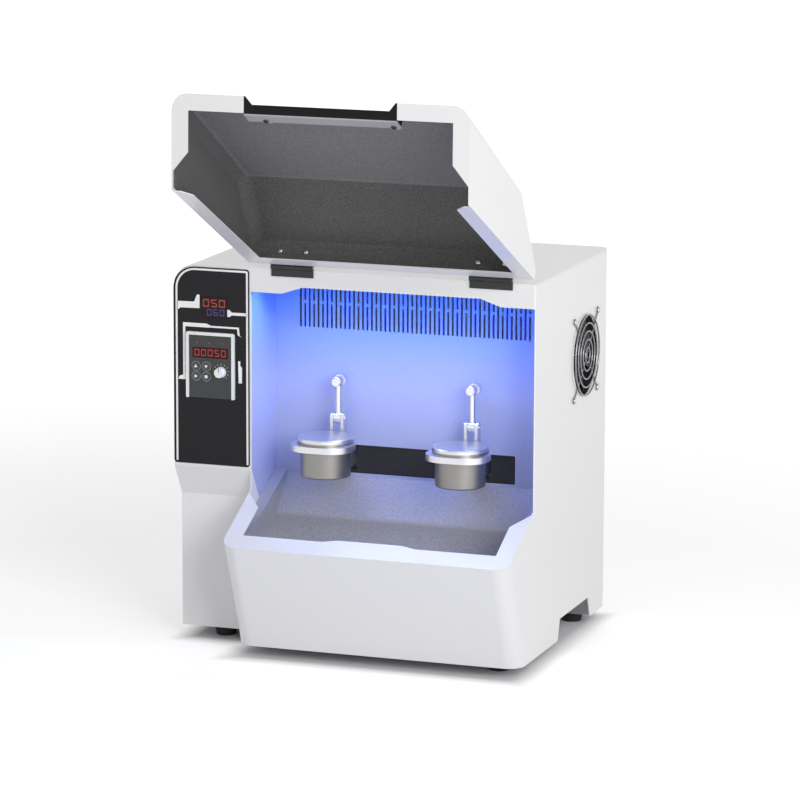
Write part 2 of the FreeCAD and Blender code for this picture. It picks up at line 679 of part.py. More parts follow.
def lid_solid(inset):
    x0, x1 = LID_X0, LID_X1
    points = lid_profile(inset)
    radii = [0, 0, LID_TOP_R - inset, LID_FOLD_R - inset, 0, 0]
    slab = prism("x", points, x0 + inset, x1 - inset, [max(r, 0) for r in radii])
    low = (APRON_Y, rim_z(APRON_Y, LID_RIM_GAP))
    fold = (LID_FOLD_Y, LID_FOLD_Z)
    top = (LID_TOP_Y, CASE_TOP)
    return common(slab, bent_block(low, fold, x0, x1, LID_CORNER_R, FAR, inset),
                  bent_block(fold, top, x0, x1, LID_CORNER_R, FAR, inset))


def lid_rim_window(margin=0.0):
    """Window in the lid's slanted rim, as (x, s) from the bend."""
    left, right = LID_X0 + LID_FRAME_W - margin, LID_X1 - LID_FRAME_W + margin
    front = math.hypot(1.0, RIM_SLOPE) * -APRON_Y - LID_FRAME_W + margin
    return [(LID_X0 + SHEET, -4.0), (LID_X0 + SHEET, 25.0), (left, 50.0), (left, front), (right, front),
            (right, 50.0), (LID_X1 - SHEET, 25.0), (LID_X1 - SHEET, -4.0)]


def lid_face_window():
    left, right = LID_X0 + LID_FRAME_W, LID_X1 - LID_FRAME_W
    z0 = RIM_BEND_Z
    z1 = CASE_TOP - LID_FRAME_W
    return [(LID_X0 + SHEET, z0), (left, z0 + 22), (left, z1), (right, z1), (right, z0 + 22), (LID_X1 - SHEET, z0)]


def pull_frame():
    """Foot of the lid's front face and its two directions: up the face, and inwards."""
    oy, oz = APRON_Y, rim_z(APRON_Y, LID_RIM_GAP)
    length = math.hypot(LID_FOLD_Y - oy, LID_FOLD_Z - oz)
    uy, uz = (LID_FOLD_Y - oy) / length, (LID_FOLD_Z - oz) / length
    return oy, oz, uy, uz, uz, -uy


def pull_prism(points, x0, x1, radii=0.0):
    """Solid along X from (n, u) points: n inwards from the face, u up along it."""
    oy, oz, uy, uz, ny, nz = pull_frame()
    place = lambda n, u: vec(x0, oy + ny * n + uy * u, oz + nz * n + uz * u)
    return outline(points, radii, place).extrude(vec(x1 - x0, 0, 0))


def above_rim(shape, lift):
    """What of a shape lies more than lift above the rim plane."""
    return cut(shape, rim_prism([(-FAR, -FAR), (FAR, -FAR), (FAR, FAR), (-FAR, FAR)], -FAR, lift))


def pull_plan(points, u0, u1):
    """Solid along the face from (x, n) points, between two heights."""
    oy, oz, uy, uz, ny, nz = pull_frame()
    place = lambda x, n: vec(x, oy + ny * n + uy * u0, oz + nz * n + uz * u0)
    return outline(points, 0.0, place).extrude(vec(0, uy * (u1 - u0), uz * (u1 - u0)))


def lid_pull():
    """Black finger pull: a pocket behind the front face, closed by a grip bar, open below."""
    a, b = PULL_X
    depth = PULL_DEPTH + PULL_BAR
    block = pull_prism([(0.0, -9.0), (depth, -9.0), (depth, PULL_H + PULL_WALL), (0.0, PULL_H + PULL_WALL)],
                       a, b, [0, 0, 3.0, 0])
    pocket = pull_plan([(a + PULL_WALL, -1), (b - PULL_WALL, -1), (b - PULL_WALL, 0.0),
                        (b - PULL_WALL - PULL_RAMP, PULL_DEPTH), (a + PULL_WALL + PULL_RAMP, PULL_DEPTH),
                        (a + PULL_WALL, 0.0)], -20.0, PULL_H)
    block = block.cut(pocket)
    return above_rim(block, LID_RIM_GAP)


def lid_pull_room():
    """What the pull and its bracket need in the lid."""
    a, b = PULL_X
    depth = PULL_DEPTH + PULL_BAR + BRACKET_GAP + BRACKET_T + 0.5
    top = PULL_H + PULL_WALL
    return pull_prism([(-9.0, -12.0), (depth, -12.0), (depth, top), (-9.0, top)], a, b)


def pull_screws():
    a, b = PULL_X
    return (a + 24.5, b - 8.6)


def pull_bracket():
    """Plate behind the grip bar, with a lobe round each of its two screws."""
    a, b = PULL_X
    n0 = PULL_DEPTH + PULL_BAR + BRACKET_GAP
    n1 = n0 + BRACKET_T
    plate = pull_prism([(n0, 0.0), (n1, 0.0), (n1, BRACKET_TOP), (n0, BRACKET_TOP)], a, b)
    for x in pull_screws():
        top = BRACKET_TOP + BRACKET_LOBE
        lobe = pull_prism([(n0, 0.0), (n1, 0.0), (n1, top), (n0, top)], x - 6, x + 6)
        plate = plate.fuse(lobe)
    return above_rim(plate, LID_RIM_GAP).removeSplitter()


def pull_screw(x):
    oy, oz, uy, uz, ny, nz = pull_frame()
    n1 = PULL_DEPTH + PULL_BAR + BRACKET_GAP + BRACKET_T
    u = BRACKET_TOP - 4.5
    start = vec(x, oy + ny * n1 + uy * u, oz + nz * n1 + uz * u)
    return Part.makeCylinder(3.0, 1.8, start, vec(0, ny, nz))


def lid_shell():
    shell = lid_solid(0.0).cut(lid_solid(SHEET))
    shell = cut(shell, rim_prism(lid_rim_window(), LID_RIM_GAP - 6, LID_RIM_GAP + 8),
                prism("y", lid_face_window(), -LID_FRONT_GAP - SHEET - 3, -LID_FRONT_GAP + 1))
    shell = shell.cut(lid_pull_room())
    for x in hinge_xs():
        shell = shell.cut(rod("x", PIVOT_Y, PIVOT_Z, BARREL_R + 0.6, x - HINGE_W / 2 - 1, x + HINGE_W / 2 + 1))
    return shell


def lid_liner():
    """Dark damping sheet on the inside of the lid, above the pull."""
    liner = lid_solid(SHEET).cut(lid_solid(SHEET + LINER_T))
    mouth = LID_FRONT_GAP + SHEET + LINER_T
    liner = above_rim(cut(liner, box(-FAR, FAR, -mouth, FAR, -FAR, FAR)), LID_RIM_GAP + SHEET + LINER_T)
    top = PULL_H + PULL_WALL + 6
    room = pull_prism([(-9.0, -40.0), (40, -40.0), (40, top), (-9.0, top)], PULL_X[0] - 6, PULL_X[1] + 14)
    return liner.cut(room)


def hinge_xs():
    return (LID_MID_X - HINGE_OFFSET, LID_MID_X + HINGE_OFFSET)


def barrel(x, part):
    """Knuckles of one hinge: the body holds the outer two, the lid the middle one."""
    third = HINGE_W / 6
    spans = [(x - third + 0.2, x + third - 0.2)]
    if part == "body":
        spans = [(x - HINGE_W / 2, x - third), (x + third, x + HINGE_W / 2)]
    return [rod("x", PIVOT_Y, PIVOT_Z, BARREL_R, a, b) for a, b in spans]


def hinge_bore(x):
    return rod("x", PIVOT_Y, PIVOT_Z, HINGE_PIN_R + RUN_FIT, x - HINGE_W, x + HINGE_W)


def hinge_body_leaves():
    leaves = []
    for x in hinge_xs():
        plate = box(x - HINGE_W / 2, x + HINGE_W / 2, -LEAF_T, 0.0, CASE_TOP - 9, CASE_TOP - 0.4)
        web = box(x - HINGE_W / 2, x + HINGE_W / 2, -LEAF_T, -0.6, CASE_TOP - 1, PIVOT_Z - 1)
        middle = rod("x", PIVOT_Y, PIVOT_Z, BARREL_R + 0.4, x - HINGE_W / 6, x + HINGE_W / 6)
        leaf = plate.fuse([web] + barrel(x, "body")).cut(middle)
        leaves.append(leaf.cut(hinge_bore(x)).removeSplitter())
    return Part.makeCompound(leaves)


def hinge_lid_leaves():
    leaves = []
    for x in hinge_xs():
        wide = box(x - HINGE_W / 2, x + HINGE_W / 2, -LEAF_REACH, PIVOT_Y - BARREL_R - 1.2, CASE_TOP, CASE_TOP + LEAF_T)
        neck = box(x - HINGE_W / 6 + 0.2, x + HINGE_W / 6 - 0.2, -12.0, PIVOT_Y, CASE_TOP + 0.3, CASE_TOP + LEAF_T)
        leaves.append(wide.fuse([neck] + barrel(x, "lid")).cut(hinge_bore(x)).removeSplitter())
    return Part.makeCompound(leaves)


def hinge_pins():
    return Part.makeCompound([rod("x", PIVOT_Y, PIVOT_Z, HINGE_PIN_R, x - HINGE_W / 2 - 0.5, x + HINGE_W / 2 + 0.5)
                              for x in hinge_xs()])


def lid_screws():
    """Hinge screws seen inside the lid and the pull's two screws."""
    screws = [pull_screw(x) for x in pull_screws()]
    low = CASE_TOP - SHEET - LINER_T
    for x in hinge_xs():
        for sx in (x - HINGE_SCREW_SPACING / 2, x + HINGE_SCREW_SPACING / 2):
            head = Part.makeSphere(4.0, vec(sx, -21.0, low + 2.6)).common(
                box(sx - 5, sx + 5, -27, -15, low - 3, low))
            screws.append(head)
    return Part.makeCompound(screws)


def opened(shape):
    """The lid's rest pose: turned open about the hinge axis."""
    turned = shape.copy()
    turned.rotate(vec(0, PIVOT_Y, PIVOT_Z), vec(1, 0, 0), -LID_OPEN_DEG)
    return turned


# Milling stations

def station_xs():
    return (STATION_MID_X - STATION_SPACING / 2, STATION_MID_X + STATION_SPACING / 2)


def holder(x):
    """Arm through the slot, ring plate for the jar, and the two ears of the clamp."""
    near = JAR_Y + JAR_R + 3
    arm = prism("x", [(near, RING_Z - 6), (ARM_BEND_Y - 16, ARM_Z[0]), (ARM_END_Y, ARM_Z[0]), (ARM_END_Y, ARM_Z[1]),
                      (ARM_BEND_Y + 4, ARM_Z[1]), (ARM_BEND_Y - 4, RING_Z + RING_T), (near, RING_Z + RING_T)],
                x - ARM_W / 2, x + ARM_W / 2, [2.0, 8.0, 0, 0, 6.0, 0, 0])
    plate = prism("z", [(x - RING_R, JAR_Y), (x - RING_R, JAR_Y - RING_R), (x + RING_R, JAR_Y - RING_R),
                        (x + RING_R, JAR_Y), (x + ARM_W / 2, CLAMP_Y + 9), (x - ARM_W / 2, CLAMP_Y + 9)],
                  RING_Z, RING_Z + RING_T, [6.0, RING_R * 0.7, RING_R * 0.7, 6.0, 3.0, 3.0])
    ears = []
    outer = HUB_W / 2 + EAR_GAP + EAR_T
    for x0, x1 in ((x - outer, x - outer + EAR_T), (x + outer - EAR_T, x + outer)):
        web = box(x0, x1, CLAMP_Y - HUB_R, CLAMP_Y + HUB_R, RING_Z + RING_T, CLAMP_Z)
        ears += [web, rod("x", CLAMP_Y, CLAMP_Z, HUB_R, x0, x1)]
    body = arm.multiFuse([plate] + ears).cut(rod("z", x, JAR_Y, JAR_R + RING_CLEAR, RING_Z - 1, RING_Z + RING_T + 1))
    body = body.cut(rod("x", CLAMP_Y, CLAMP_Z, CLAMP_PIN_R, x - 20, x + 20))
    return body.removeSplitter()


def clamp_pins():
    reach = HUB_W / 2 + EAR_GAP + EAR_T
    return Part.makeCompound([rod("x", CLAMP_Y, CLAMP_Z, CLAMP_PIN_R, x - reach - 1, x + reach + 1)
                              for x in station_xs()])


def clamp_lever(x):
    """Lever, upright at rest: hub, round stem and the eye for the clamp screw at its end."""
    hub = rod("x", CLAMP_Y, CLAMP_Z, HUB_R, x - HUB_W / 2, x + HUB_W / 2)
    stem = rod("z", x, CLAMP_Y, LEVER_R, CLAMP_Z, CLAMP_Z + EYE_OFFSET)
    eye = rod("y", x, CLAMP_Z + EYE_OFFSET, EYE_R, CLAMP_Y - EYE_HALF, CLAMP_Y + EYE_HALF)
    lever = hub.multiFuse([stem, eye])
    lever = lever.cut(rod("x", CLAMP_Y, CLAMP_Z, CLAMP_PIN_R + RUN_FIT, x - 20, x + 20))
    return lever.cut(rod("y", x, CLAMP_Z + EYE_OFFSET, PLUNGER_R + RUN_FIT, CLAMP_Y - 20, CLAMP_Y + 20))


def clamp_pad(x):
    """Pad and its plunger through the eye, in front of the lever while it stands upright."""
    z = CLAMP_Z + EYE_OFFSET
    y1 = CLAMP_Y - EYE_HALF - PAD_GAP
    pad = rod("y", x, z, PAD_R, y1 - PAD_T, y1)
    pad = pad.makeChamfer(0.8, [e for e in pad.Edges if abs(e.CenterOfMass.y - (y1 - PAD_T)) < 0.01])
    return pad.fuse(rod("y", x, z, PLUNGER_R, y1, PLUNGER_END_Y))


def thumb_nut(x):
    """Fluted nut behind the eye, which draws the plunger in and out."""
    z = CLAMP_Z + EYE_OFFSET
    y0 = CLAMP_Y + EYE_HALF + 0.3
    nut = rod("y", x, z, NUT_R, y0, y0 + NUT_T)
    for i in range(12):
        a = math.radians(30 * i)
        nut = nut.cut(rod("y", x + math.cos(a) * (NUT_R + 0.6), z + math.sin(a) * (NUT_R + 0.6),
                          1.3, y0 - 1, y0 + NUT_T + 1))
    return nut.cut(rod("y", x, z, PLUNGER_R + RUN_FIT, y0 - 1, y0 + NUT_T + 1))


def jar(x):
    z0 = JAR_BOTTOM_Z
    top = RING_Z + RING_T + SEAT_GAP + JAR_FLANGE_T
    body = rod("z", x, JAR_Y, JAR_R, z0, top)
    body = body.makeFillet(2.0, [e for e in body.Edges if abs(e.CenterOfMass.z - z0) < 0.01 and e.Closed])
    body = body.fuse(rod("z", x, JAR_Y, JAR_FLANGE_R, top - JAR_FLANGE_T, top))
    return body.cut(rod("z", x, JAR_Y, JAR_R - JAR_WALL, z0 + JAR_BASE_T, top + 1))


def jar_cover(x):
    z0 = RING_Z + RING_T + SEAT_GAP + JAR_FLANGE_T
    disc = rod("z", x, JAR_Y, JAR_FLANGE_R, z0, z0 + JAR_COVER_T)
    disc = disc.makeChamfer(1.0, [e for e in disc.Edges if abs(e.CenterOfMass.z - z0 - JAR_COVER_T) < 0.01])
    return disc.fuse(rod("z", x, JAR_Y, JAR_R - JAR_WALL - 0.4, z0 - 4, z0))


def grinding_balls(x):
    z = JAR_BOTTOM_Z + JAR_BASE_T + BALL_R + RUN_FIT
    reach = JAR_R - JAR_WALL - BALL_R - 1
    return Part.makeCompound([Part.makeSphere(BALL_R, vec(x + reach * math.cos(a), JAR_Y + reach * math.sin(a), z))
                              for a in (0.4, 2.5, 4.4)])


# Vibrating frame, springs and motor

def spring_places():
    return [(STATION_MID_X + sx * SPRING_X, y) for sx in (-1, 1) for y in SPRING_Y]


def vibrating_frame():
    mid = STATION_MID_X
    x0, x1 = mid - FRAME_HALF_X, mid + FRAME_HALF_X
    z1 = FRAME_Z + FRAME_T
    parts = [box(x0, x1, FRAME_Y[0], FRAME_Y[1], FRAME_Z, z1),
             box(x0 + 10, x1 - 10, FRONT_WEB_Y, FRONT_WEB_Y + FRAME_T, z1, ARM_Z[0]),
             box(x0 + 10, x1 - 10, FRAME_Y[0] + 2, ARM_END_Y, ARM_Z[0] - FRAME_T, ARM_Z[0])]
    rib = [(FRONT_WEB_Y, z1), (FRONT_WEB_Y + 60, z1), (FRONT_WEB_Y + FRAME_T, ARM_Z[0] - FRAME_T),
           (FRONT_WEB_Y, ARM_Z[0] - FRAME_T)]
    for x in (x0 + 12, x1 - 18):
        parts.append(prism("x", rib, x, x + 6))
    for x, y in spring_places():
        parts.append(rod("z", x, y, SPRING_R - SPRING_WIRE_R - 1.2, FRAME_Z - 10, FRAME_Z))
    return parts[0].multiFuse(parts[1:]).removeSplitter()


def springs():
    """Four coil springs with closed ends, between the sub-base and the frame."""
    coils = []
    height = FRAME_Z - SPRING_FOOT_Z - 2 * SPRING_WIRE_R - 0.2
    for x, y in spring_places():
        helix = Part.makeHelix(height / SPRING_TURNS, height, SPRING_R)
        circle = Part.makeCircle(SPRING_WIRE_R, vec(SPRING_R, 0, 0), vec(0, 1, 0))
        coil = Part.Wire(helix.Edges).makePipeShell([Part.Wire([circle])], True, True)
        coil.translate(vec(x, y, SPRING_FOOT_Z + SPRING_WIRE_R + 0.1))
        coils.append(coil)
    return Part.makeCompound(coils)


def motor_housing():
    """Ribbed housing on a foot, bored for the rotor and the bearings."""
    mid = STATION_MID_X
    barrel_solid = rod("x", MOTOR_Y, MOTOR_Z, MOTOR_R - 4, mid - MOTOR_HALF_L, mid + MOTOR_HALF_L)
    parts = [rod("x", MOTOR_Y, MOTOR_Z, MOTOR_R, mid - MOTOR_HALF_L + 6 + 14 * i, mid - MOTOR_HALF_L + 10 + 14 * i)
             for i in range(10)]
    foot_z = FRAME_Z + FRAME_T
    foot = box(mid - 50, mid + 50, MOTOR_Y - 50, MOTOR_Y + 50, foot_z, foot_z + 10)
    neck = box(mid - 40, mid + 40, MOTOR_Y - 30, MOTOR_Y + 30, foot_z + 10, MOTOR_Z - 30)
    body = barrel_solid.multiFuse(parts + [foot, neck])
    body = body.cut(rod("x", MOTOR_Y, MOTOR_Z, ROTOR_R + 1.5, mid - MOTOR_HALF_L + BEARING_W,
                        mid + MOTOR_HALF_L - BEARING_W))
    for start in (mid - MOTOR_HALF_L - 1, mid + MOTOR_HALF_L - BEARING_W - 1):
        body = body.cut(rod("x", MOTOR_Y, MOTOR_Z, BEARING_R, start, start + BEARING_W + 2))
    return body.removeSplitter()


def motor_bearings():
    mid = STATION_MID_X
    return Part.makeCompound([tube("x", MOTOR_Y, MOTOR_Z, BEARING_R, SHAFT_R + RUN_FIT, start, start + BEARING_W)
                              for start in (mid - MOTOR_HALF_L, mid + MOTOR_HALF_L - BEARING_W)])


def motor_covers():
    mid = STATION_MID_X
    covers = []
    for side in (-1, 1):
        near, end = mid + side * MOTOR_HALF_L, mid + side * (MOTOR_HALF_L + MOTOR_COVER_L)
        a, b = sorted((near, end))
        outer = rod("x", MOTOR_Y, MOTOR_Z, MOTOR_COVER_R, a, b)
        inner = rod("x", MOTOR_Y, MOTOR_Z, MOTOR_COVER_R - 3, *sorted((near - side, end - 3 * side)))
        covers.append(outer.cut(inner))
    return Part.makeCompound(covers)


def motor_shaft():
    mid = STATION_MID_X
    reach = MOTOR_HALF_L + MOTOR_COVER_L - 6
    shaft = rod("x", MOTOR_Y, MOTOR_Z, SHAFT_R, mid - reach, mid + reach)
    return shaft.fuse(rod("x", MOTOR_Y, MOTOR_Z, ROTOR_R, mid - MOTOR_HALF_L + 16, mid + MOTOR_HALF_L - 16))


def eccentric_weights():
    """Half discs on the two shaft ends."""
    mid = STATION_MID_X
    weights = []
    for side in (-1, 1):
        a = mid + side * (MOTOR_HALF_L + 6)
        b = a + side * WEIGHT_T
        a, b = min(a, b), max(a, b)
        half = rod("x", MOTOR_Y, MOTOR_Z, WEIGHT_R, a, b).cut(
            box(a - 1, b + 1, MOTOR_Y - 60, MOTOR_Y + 60, MOTOR_Z + 4, MOTOR_Z + 60))
        hub = rod("x", MOTOR_Y, MOTOR_Z, SHAFT_R + 7, a, b)
        bore = rod("x", MOTOR_Y, MOTOR_Z, SHAFT_R + WEIGHT_FIT, a - 1, b + 1)
        weights.append(half.fuse(hub).cut(bore).removeSplitter())
    return Part.makeCompound(weights)


# Fan

def fan_bolts():
    return [(FAN_Y + a * FAN_BOLT, FAN_Z + b * FAN_BOLT) for a in (-1, 1) for b in (-1, 1)]


def fan_housing():
    x1 = HALF_W - SHEET
    x0 = x1 - FAN_T
    h = FAN_SIZE / 2
    frame = prism("x", [(FAN_Y - h, FAN_Z - h), (FAN_Y + h, FAN_Z - h), (FAN_Y + h, FAN_Z + h), (FAN_Y - h, FAN_Z + h)],
                  x0, x1, 5.0)
    frame = frame.cut(rod("x", FAN_Y, FAN_Z, FAN_BORE_R, x0 - 1, x1 + 1))
    spider = rod("x", FAN_Y, FAN_Z, FAN_HUB_R + 2, x0, x0 + 4)
    for i in range(4):
        strut = box(x0, x0 + 4, FAN_Y - 2, FAN_Y + 2, FAN_Z, FAN_Z + FAN_BORE_R + 1)
        strut.rotate(vec(x0, FAN_Y, FAN_Z), vec(1, 0, 0), 45 + 90 * i)
        spider = spider.fuse(strut)
    pin = rod("x", FAN_Y, FAN_Z, 2.0, x0 + 3, x0 + 18)
    body = frame.multiFuse([spider, pin])
    for y, z in fan_bolts():
        body = body.cut(rod("x", y, z, 2.2, x0 - 1, x1 + 1))
    return body.removeSplitter()


def fan_rotor():
    """Hub cap with seven raked blades."""
    x0 = HALF_W - SHEET - FAN_T + 5
    x1 = HALF_W - SHEET - 2.5
    hub = rod("x", FAN_Y, FAN_Z, FAN_HUB_R, x0, x1)
    blades = []
    for i in range(FAN_BLADES):
        sections = []
        for radius, rake in ((FAN_HUB_R - 3, 11.0), (FAN_BLADE_R, 15.0)):
            low, high = vec(x0 + 1, FAN_Y - rake, FAN_Z + radius), vec(x1 - 1, FAN_Y + rake, FAN_Z + radius)
            side = vec(0, 1.3, 0)
            sections.append(Part.makePolygon([low - side, low + side, high + side, high - side, low - side]))
        blade = Part.makeLoft(sections, True, True)
        blade.rotate(vec(x0, FAN_Y, FAN_Z), vec(1, 0, 0), 360.0 * i / FAN_BLADES)
        blades.append(blade)
    rotor = hub.multiFuse(blades)
    sweep = rod("x", FAN_Y, FAN_Z, FAN_BLADE_R, x0, x1)
    return rotor.common(sweep).cut(rod("x", FAN_Y, FAN_Z, 2.0 + RUN_FIT, x0 - 1, x0 + 14)).removeSplitter()


def fan_guard():
    """Finger guard: round wires on two crossed spokes that end in eyelets."""
    x = HALF_W + GUARD_WIRE_R
    parts = []
    for radius in GUARD_RINGS:
        parts.append(Part.makeTorus(radius, GUARD_WIRE_R, vec(x + 1.6 * GUARD_WIRE_R, FAN_Y, FAN_Z), vec(1, 0, 0)))
    reach = FAN_BOLT * math.sqrt(2) - 3
    for angle in (45, 135):
        spoke = rod("z", x, FAN_Y, GUARD_WIRE_R, FAN_Z - reach, FAN_Z + reach)
        spoke.rotate(vec(x, FAN_Y, FAN_Z), vec(1, 0, 0), angle)
        parts.append(spoke)
    for y, z in fan_bolts():
        parts.append(tube("x", y, z, 4.6, 2.2, HALF_W, HALF_W + 2 * GUARD_WIRE_R))
    return parts[0].multiFuse(parts[1:])


def panel_screws():
    """Fan screws on the guard's eyelets and the rear cover's screws."""
    screws = []
    for y, z in fan_bolts():
        head = rod("x", y, z, 3.6, HALF_W + 2 * GUARD_WIRE_R, HALF_W + 2 * GUARD_WIRE_R + 1.8)
        screws.append(head.fuse(rod("x", y, z, 2.1, HALF_W - SHEET - FAN_T, HALF_W + 2 * GUARD_WIRE_R)))
    for x, z in rear_screws():
        head = rod("y", x, z, 3.6, CASE_D + SHEET, CASE_D + SHEET + 1.8)
        screws.append(head.fuse(rod("y", x, z, 2.0, CASE_D, CASE_D + SHEET)))
    return Part.makeCompound(screws)


# Control column

def control_panel():
    x0, x1 = -HALF_W + PANEL_INSET, COLUMN_X - PANEL_INSET
    panel = prism("y", [(x0, PANEL_Z[0]), (x1, PANEL_Z[0]), (x1, PANEL_Z[1]), (x0, PANEL_Z[1])],
                  -PANEL_T, 0.0, [4.0, 4.0, 4.0, TOP_LEFT_R - 2])
    return cut(panel, box(DRIVE_X[0], DRIVE_X[1], -9, 9, *DRIVE_Z), box(TIMER_X[0], TIMER_X[1], -9, 9, *TIMER_Z))


def timer_display():
    """Timer module behind the panel, with its window proud of it."""
    lens = box(TIMER_X[0] + 0.3, TIMER_X[1] - 0.3, -PANEL_T - 0.5, SHEET, TIMER_Z[0] + 0.3, TIMER_Z[1] - 0.3)
    case = box(TIMER_X[0] - 4, TIMER_X[1] + 4, SHEET, 60.0, TIMER_Z[0] - 4, TIMER_Z[1] + 4)
    return lens.fuse(case)


def drive_front_y():
    return -PANEL_T - DRIVE_PROUD


def speed_drive():
    """Variable-speed drive behind the panel; its keypad stands a little proud."""
    y0 = drive_front_y()
    keypad = box(DRIVE_X[0] + 0.3, DRIVE_X[1] - 0.3, y0, SHEET, DRIVE_Z[0] + 0.3, DRIVE_Z[1] - 0.3)
    case = box(DRIVE_X[0] - 3, DRIVE_X[1] + 3, SHEET, DRIVE_DEPTH, DRIVE_Z[0] - 30, DRIVE_Z[1] + 6)
    drive = keypad.fuse(case)
    for x in KEY_X:
        for z in KEY_Z:
            drive = drive.cut(rod("y", x, z, KEY_R + KEY_CLEAR, y0 - 1, y0 + 5))
    return drive.cut(rod("y", DIAL_X, DIAL_Z, 3.0 + RUN_FIT, y0 - 1, y0 + 12))


def drive_bezel():
    """Raised frame round the keypad."""
    y0 = -PANEL_T - BEZEL_PROUD
    x0, x1 = DRIVE_X
    z0, z1 = DRIVE_Z
    outer = prism("y", [(x0 - BEZEL_W, z0), (x1 + BEZEL_W, z0), (x1 + BEZEL_W, z1 + BEZEL_W), (x0 - BEZEL_W, z1 + BEZEL_W)],
                  y0, -PANEL_T, [1.0, 1.0, 3.0, 3.0])
    return outer.cut(box(x0, x1, y0 - 1, 9, z0 - 1, z1))


def key_button(x, z):
    y0 = drive_front_y()
    cap = rod("y", x, z, KEY_R, y0 - 1.6, y0 + 3.5)
    return cap.makeFillet(0.7, [e for e in cap.Edges if abs(e.CenterOfMass.y - (y0 - 1.6)) < 0.01])


def speed_dial():
    """Knob with a knurled skirt and a pointer slot, on the shaft of its potentiometer."""
    y0 = drive_front_y()
    face = y0 - 0.4
    knob = Part.makeCone(DIAL_R, DIAL_R - 1.2, DIAL_T, vec(DIAL_X, face, DIAL_Z), vec(0, -1, 0))
    for i in range(16):
        a = math.radians(22.5 * i)
        knob = knob.cut(rod("y", DIAL_X + math.cos(a) * (DIAL_R + 0.2), DIAL_Z + math.sin(a) * (DIAL_R + 0.2),
                            0.7, face - DIAL_T + 2.0, face + 1))
    knob = knob.cut(box(DIAL_X - 0.5, DIAL_X + 0.5, face - DIAL_T - 1, face - DIAL_T + 0.8, DIAL_Z, DIAL_Z + DIAL_R))
    return knob.fuse(rod("y", DIAL_X, DIAL_Z, 3.0, face - 1, y0 + 10))


# Rear inlet and its switch

def power_inlet():
    """Inlet for a mains lead with its fuse drawer, and the housing of the rocker switch."""
    y1 = CASE_D + SHEET
    x, z = INLET_X, INLET_Z
    rim = prism("y", [(x - 16, z - 33), (x + 16, z - 33), (x + 16, z + 33), (x - 16, z + 33)], y1, y1 + 2.5, 3.0)
    wide, high = INLET_ROOM[0] / 2 - 0.3, INLET_ROOM[1] / 2 - 0.3
    body = box(x - wide, x + wide, y1 - 32, y1, z - high, z + high)
    inlet = rim.fuse(body)
    socket = prism("y", [(x - 9, z - 28), (x + 9, z - 28), (x + 12, z - 25), (x + 12, z - 11), (x - 12, z - 11),
                         (x - 12, z - 25)], y1 - 16, y1 + 9)
    inlet = inlet.cut(socket)
    for dx, dz in ((-7, -18), (7, -18), (0, -22)):
        inlet = inlet.fuse(box(x + dx - 1, x + dx + 1, y1 - 17, y1 - 2, z + dz - 2.2, z + dz + 2.2))
    fuse_slot = box(x - 11, x + 11, y1 + 1.7, y1 + 9, z - 5, z + 3)
    rocker_room = box(x - 7.3, x + 7.3, y1 - 12, y1 + 9, z + 7, z + 29)
    return inlet.cut(fuse_slot).cut(rocker_room)


def rocker_pivot():
    return CASE_D + SHEET - 4.0, INLET_Z + 18.0


def power_rocker():
    """Rocker pressed down at its upper, on, side."""
    y, z = rocker_pivot()
    rocker = prism("x", [(y - 3, z - 8), (y - 3, z + 8), (y + 5.5, z + 9.5), (y + 4.2, z), (y + 5.5, z - 9.5)],
                   INLET_X - 7, INLET_X + 7)
    rocker.rotate(vec(INLET_X, y, z), vec(1, 0, 0), ROCKER_DEG / 2)
    return rocker.fuse([rod("x", y, z, 1.5, INLET_X - 7.25, INLET_X + 7.25)])


def model():
    """Every node by name."""
    nodes = dict(casing())
    nodes["base_pan"] = base_pan()
    nodes["rubber_feet"] = rubber_feet()
    nodes["sub_base"] = sub_base()
    nodes["rear_cover"] = rear_cover()
    nodes["chamber_liner"] = chamber_liner(nodes["front_apron"])
    nodes["back_wall"] = back_wall()
    nodes["slot_seal"] = slot_seal()
    nodes["drip_tray"] = drip_tray()
    nodes["light_bar"] = light_bar()
    nodes["light_diffuser"] = light_diffuser()
    nodes["control_panel"] = control_panel()
    nodes["timer_display"] = timer_display()
    nodes["speed_drive"] = speed_drive()
    nodes["drive_bezel"] = drive_bezel()
    for i, (x, z) in enumerate([(x, z) for z in KEY_Z for x in KEY_X], 1):
        nodes["key_button_%d" % i] = key_button(x, z)
    nodes["speed_dial"] = speed_dial()
    nodes["fan_housing"] = fan_housing()
    nodes["fan_rotor"] = fan_rotor()
    nodes["fan_guard"] = fan_guard()
    nodes["panel_screws"] = panel_screws()
    nodes["power_inlet"] = power_inlet()
    nodes["power_rocker"] = power_rocker()
    nodes["hinge_body_leaves"] = hinge_body_leaves()
    nodes["hinge_pins"] = hinge_pins()
    for name, make in (("lid_shell", lid_shell), ("lid_liner", lid_liner), ("lid_pull", lid_pull),
                       ("pull_bracket", pull_bracket), ("lid_screws", lid_screws),
                       ("hinge_lid_leaves", hinge_lid_leaves)):
        nodes[name] = opened(make())
    for side, x in zip(("left", "right"), station_xs()):
        nodes["holder_" + side] = holder(x)
        nodes["jar_" + side] = jar(x)
        nodes["jar_cover_" + side] = jar_cover(x)
        nodes["grinding_balls_" + side] = grinding_balls(x)
        nodes["clamp_lever_" + side] = clamp_lever(x)
        nodes["clamp_pad_" + side] = clamp_pad(x)
        nodes["thumb_nut_" + side] = thumb_nut(x)
    nodes["clamp_pins"] = clamp_pins()
    nodes["vibrating_frame"] = vibrating_frame()
    nodes["springs"] = springs()
    nodes["motor_housing"] = motor_housing()
    nodes["motor_bearings"] = motor_bearings()
    nodes["motor_covers"] = motor_covers()
    nodes["motor_shaft"] = motor_shaft()
    nodes["eccentric_weights"] = eccentric_weights()
    return nodes


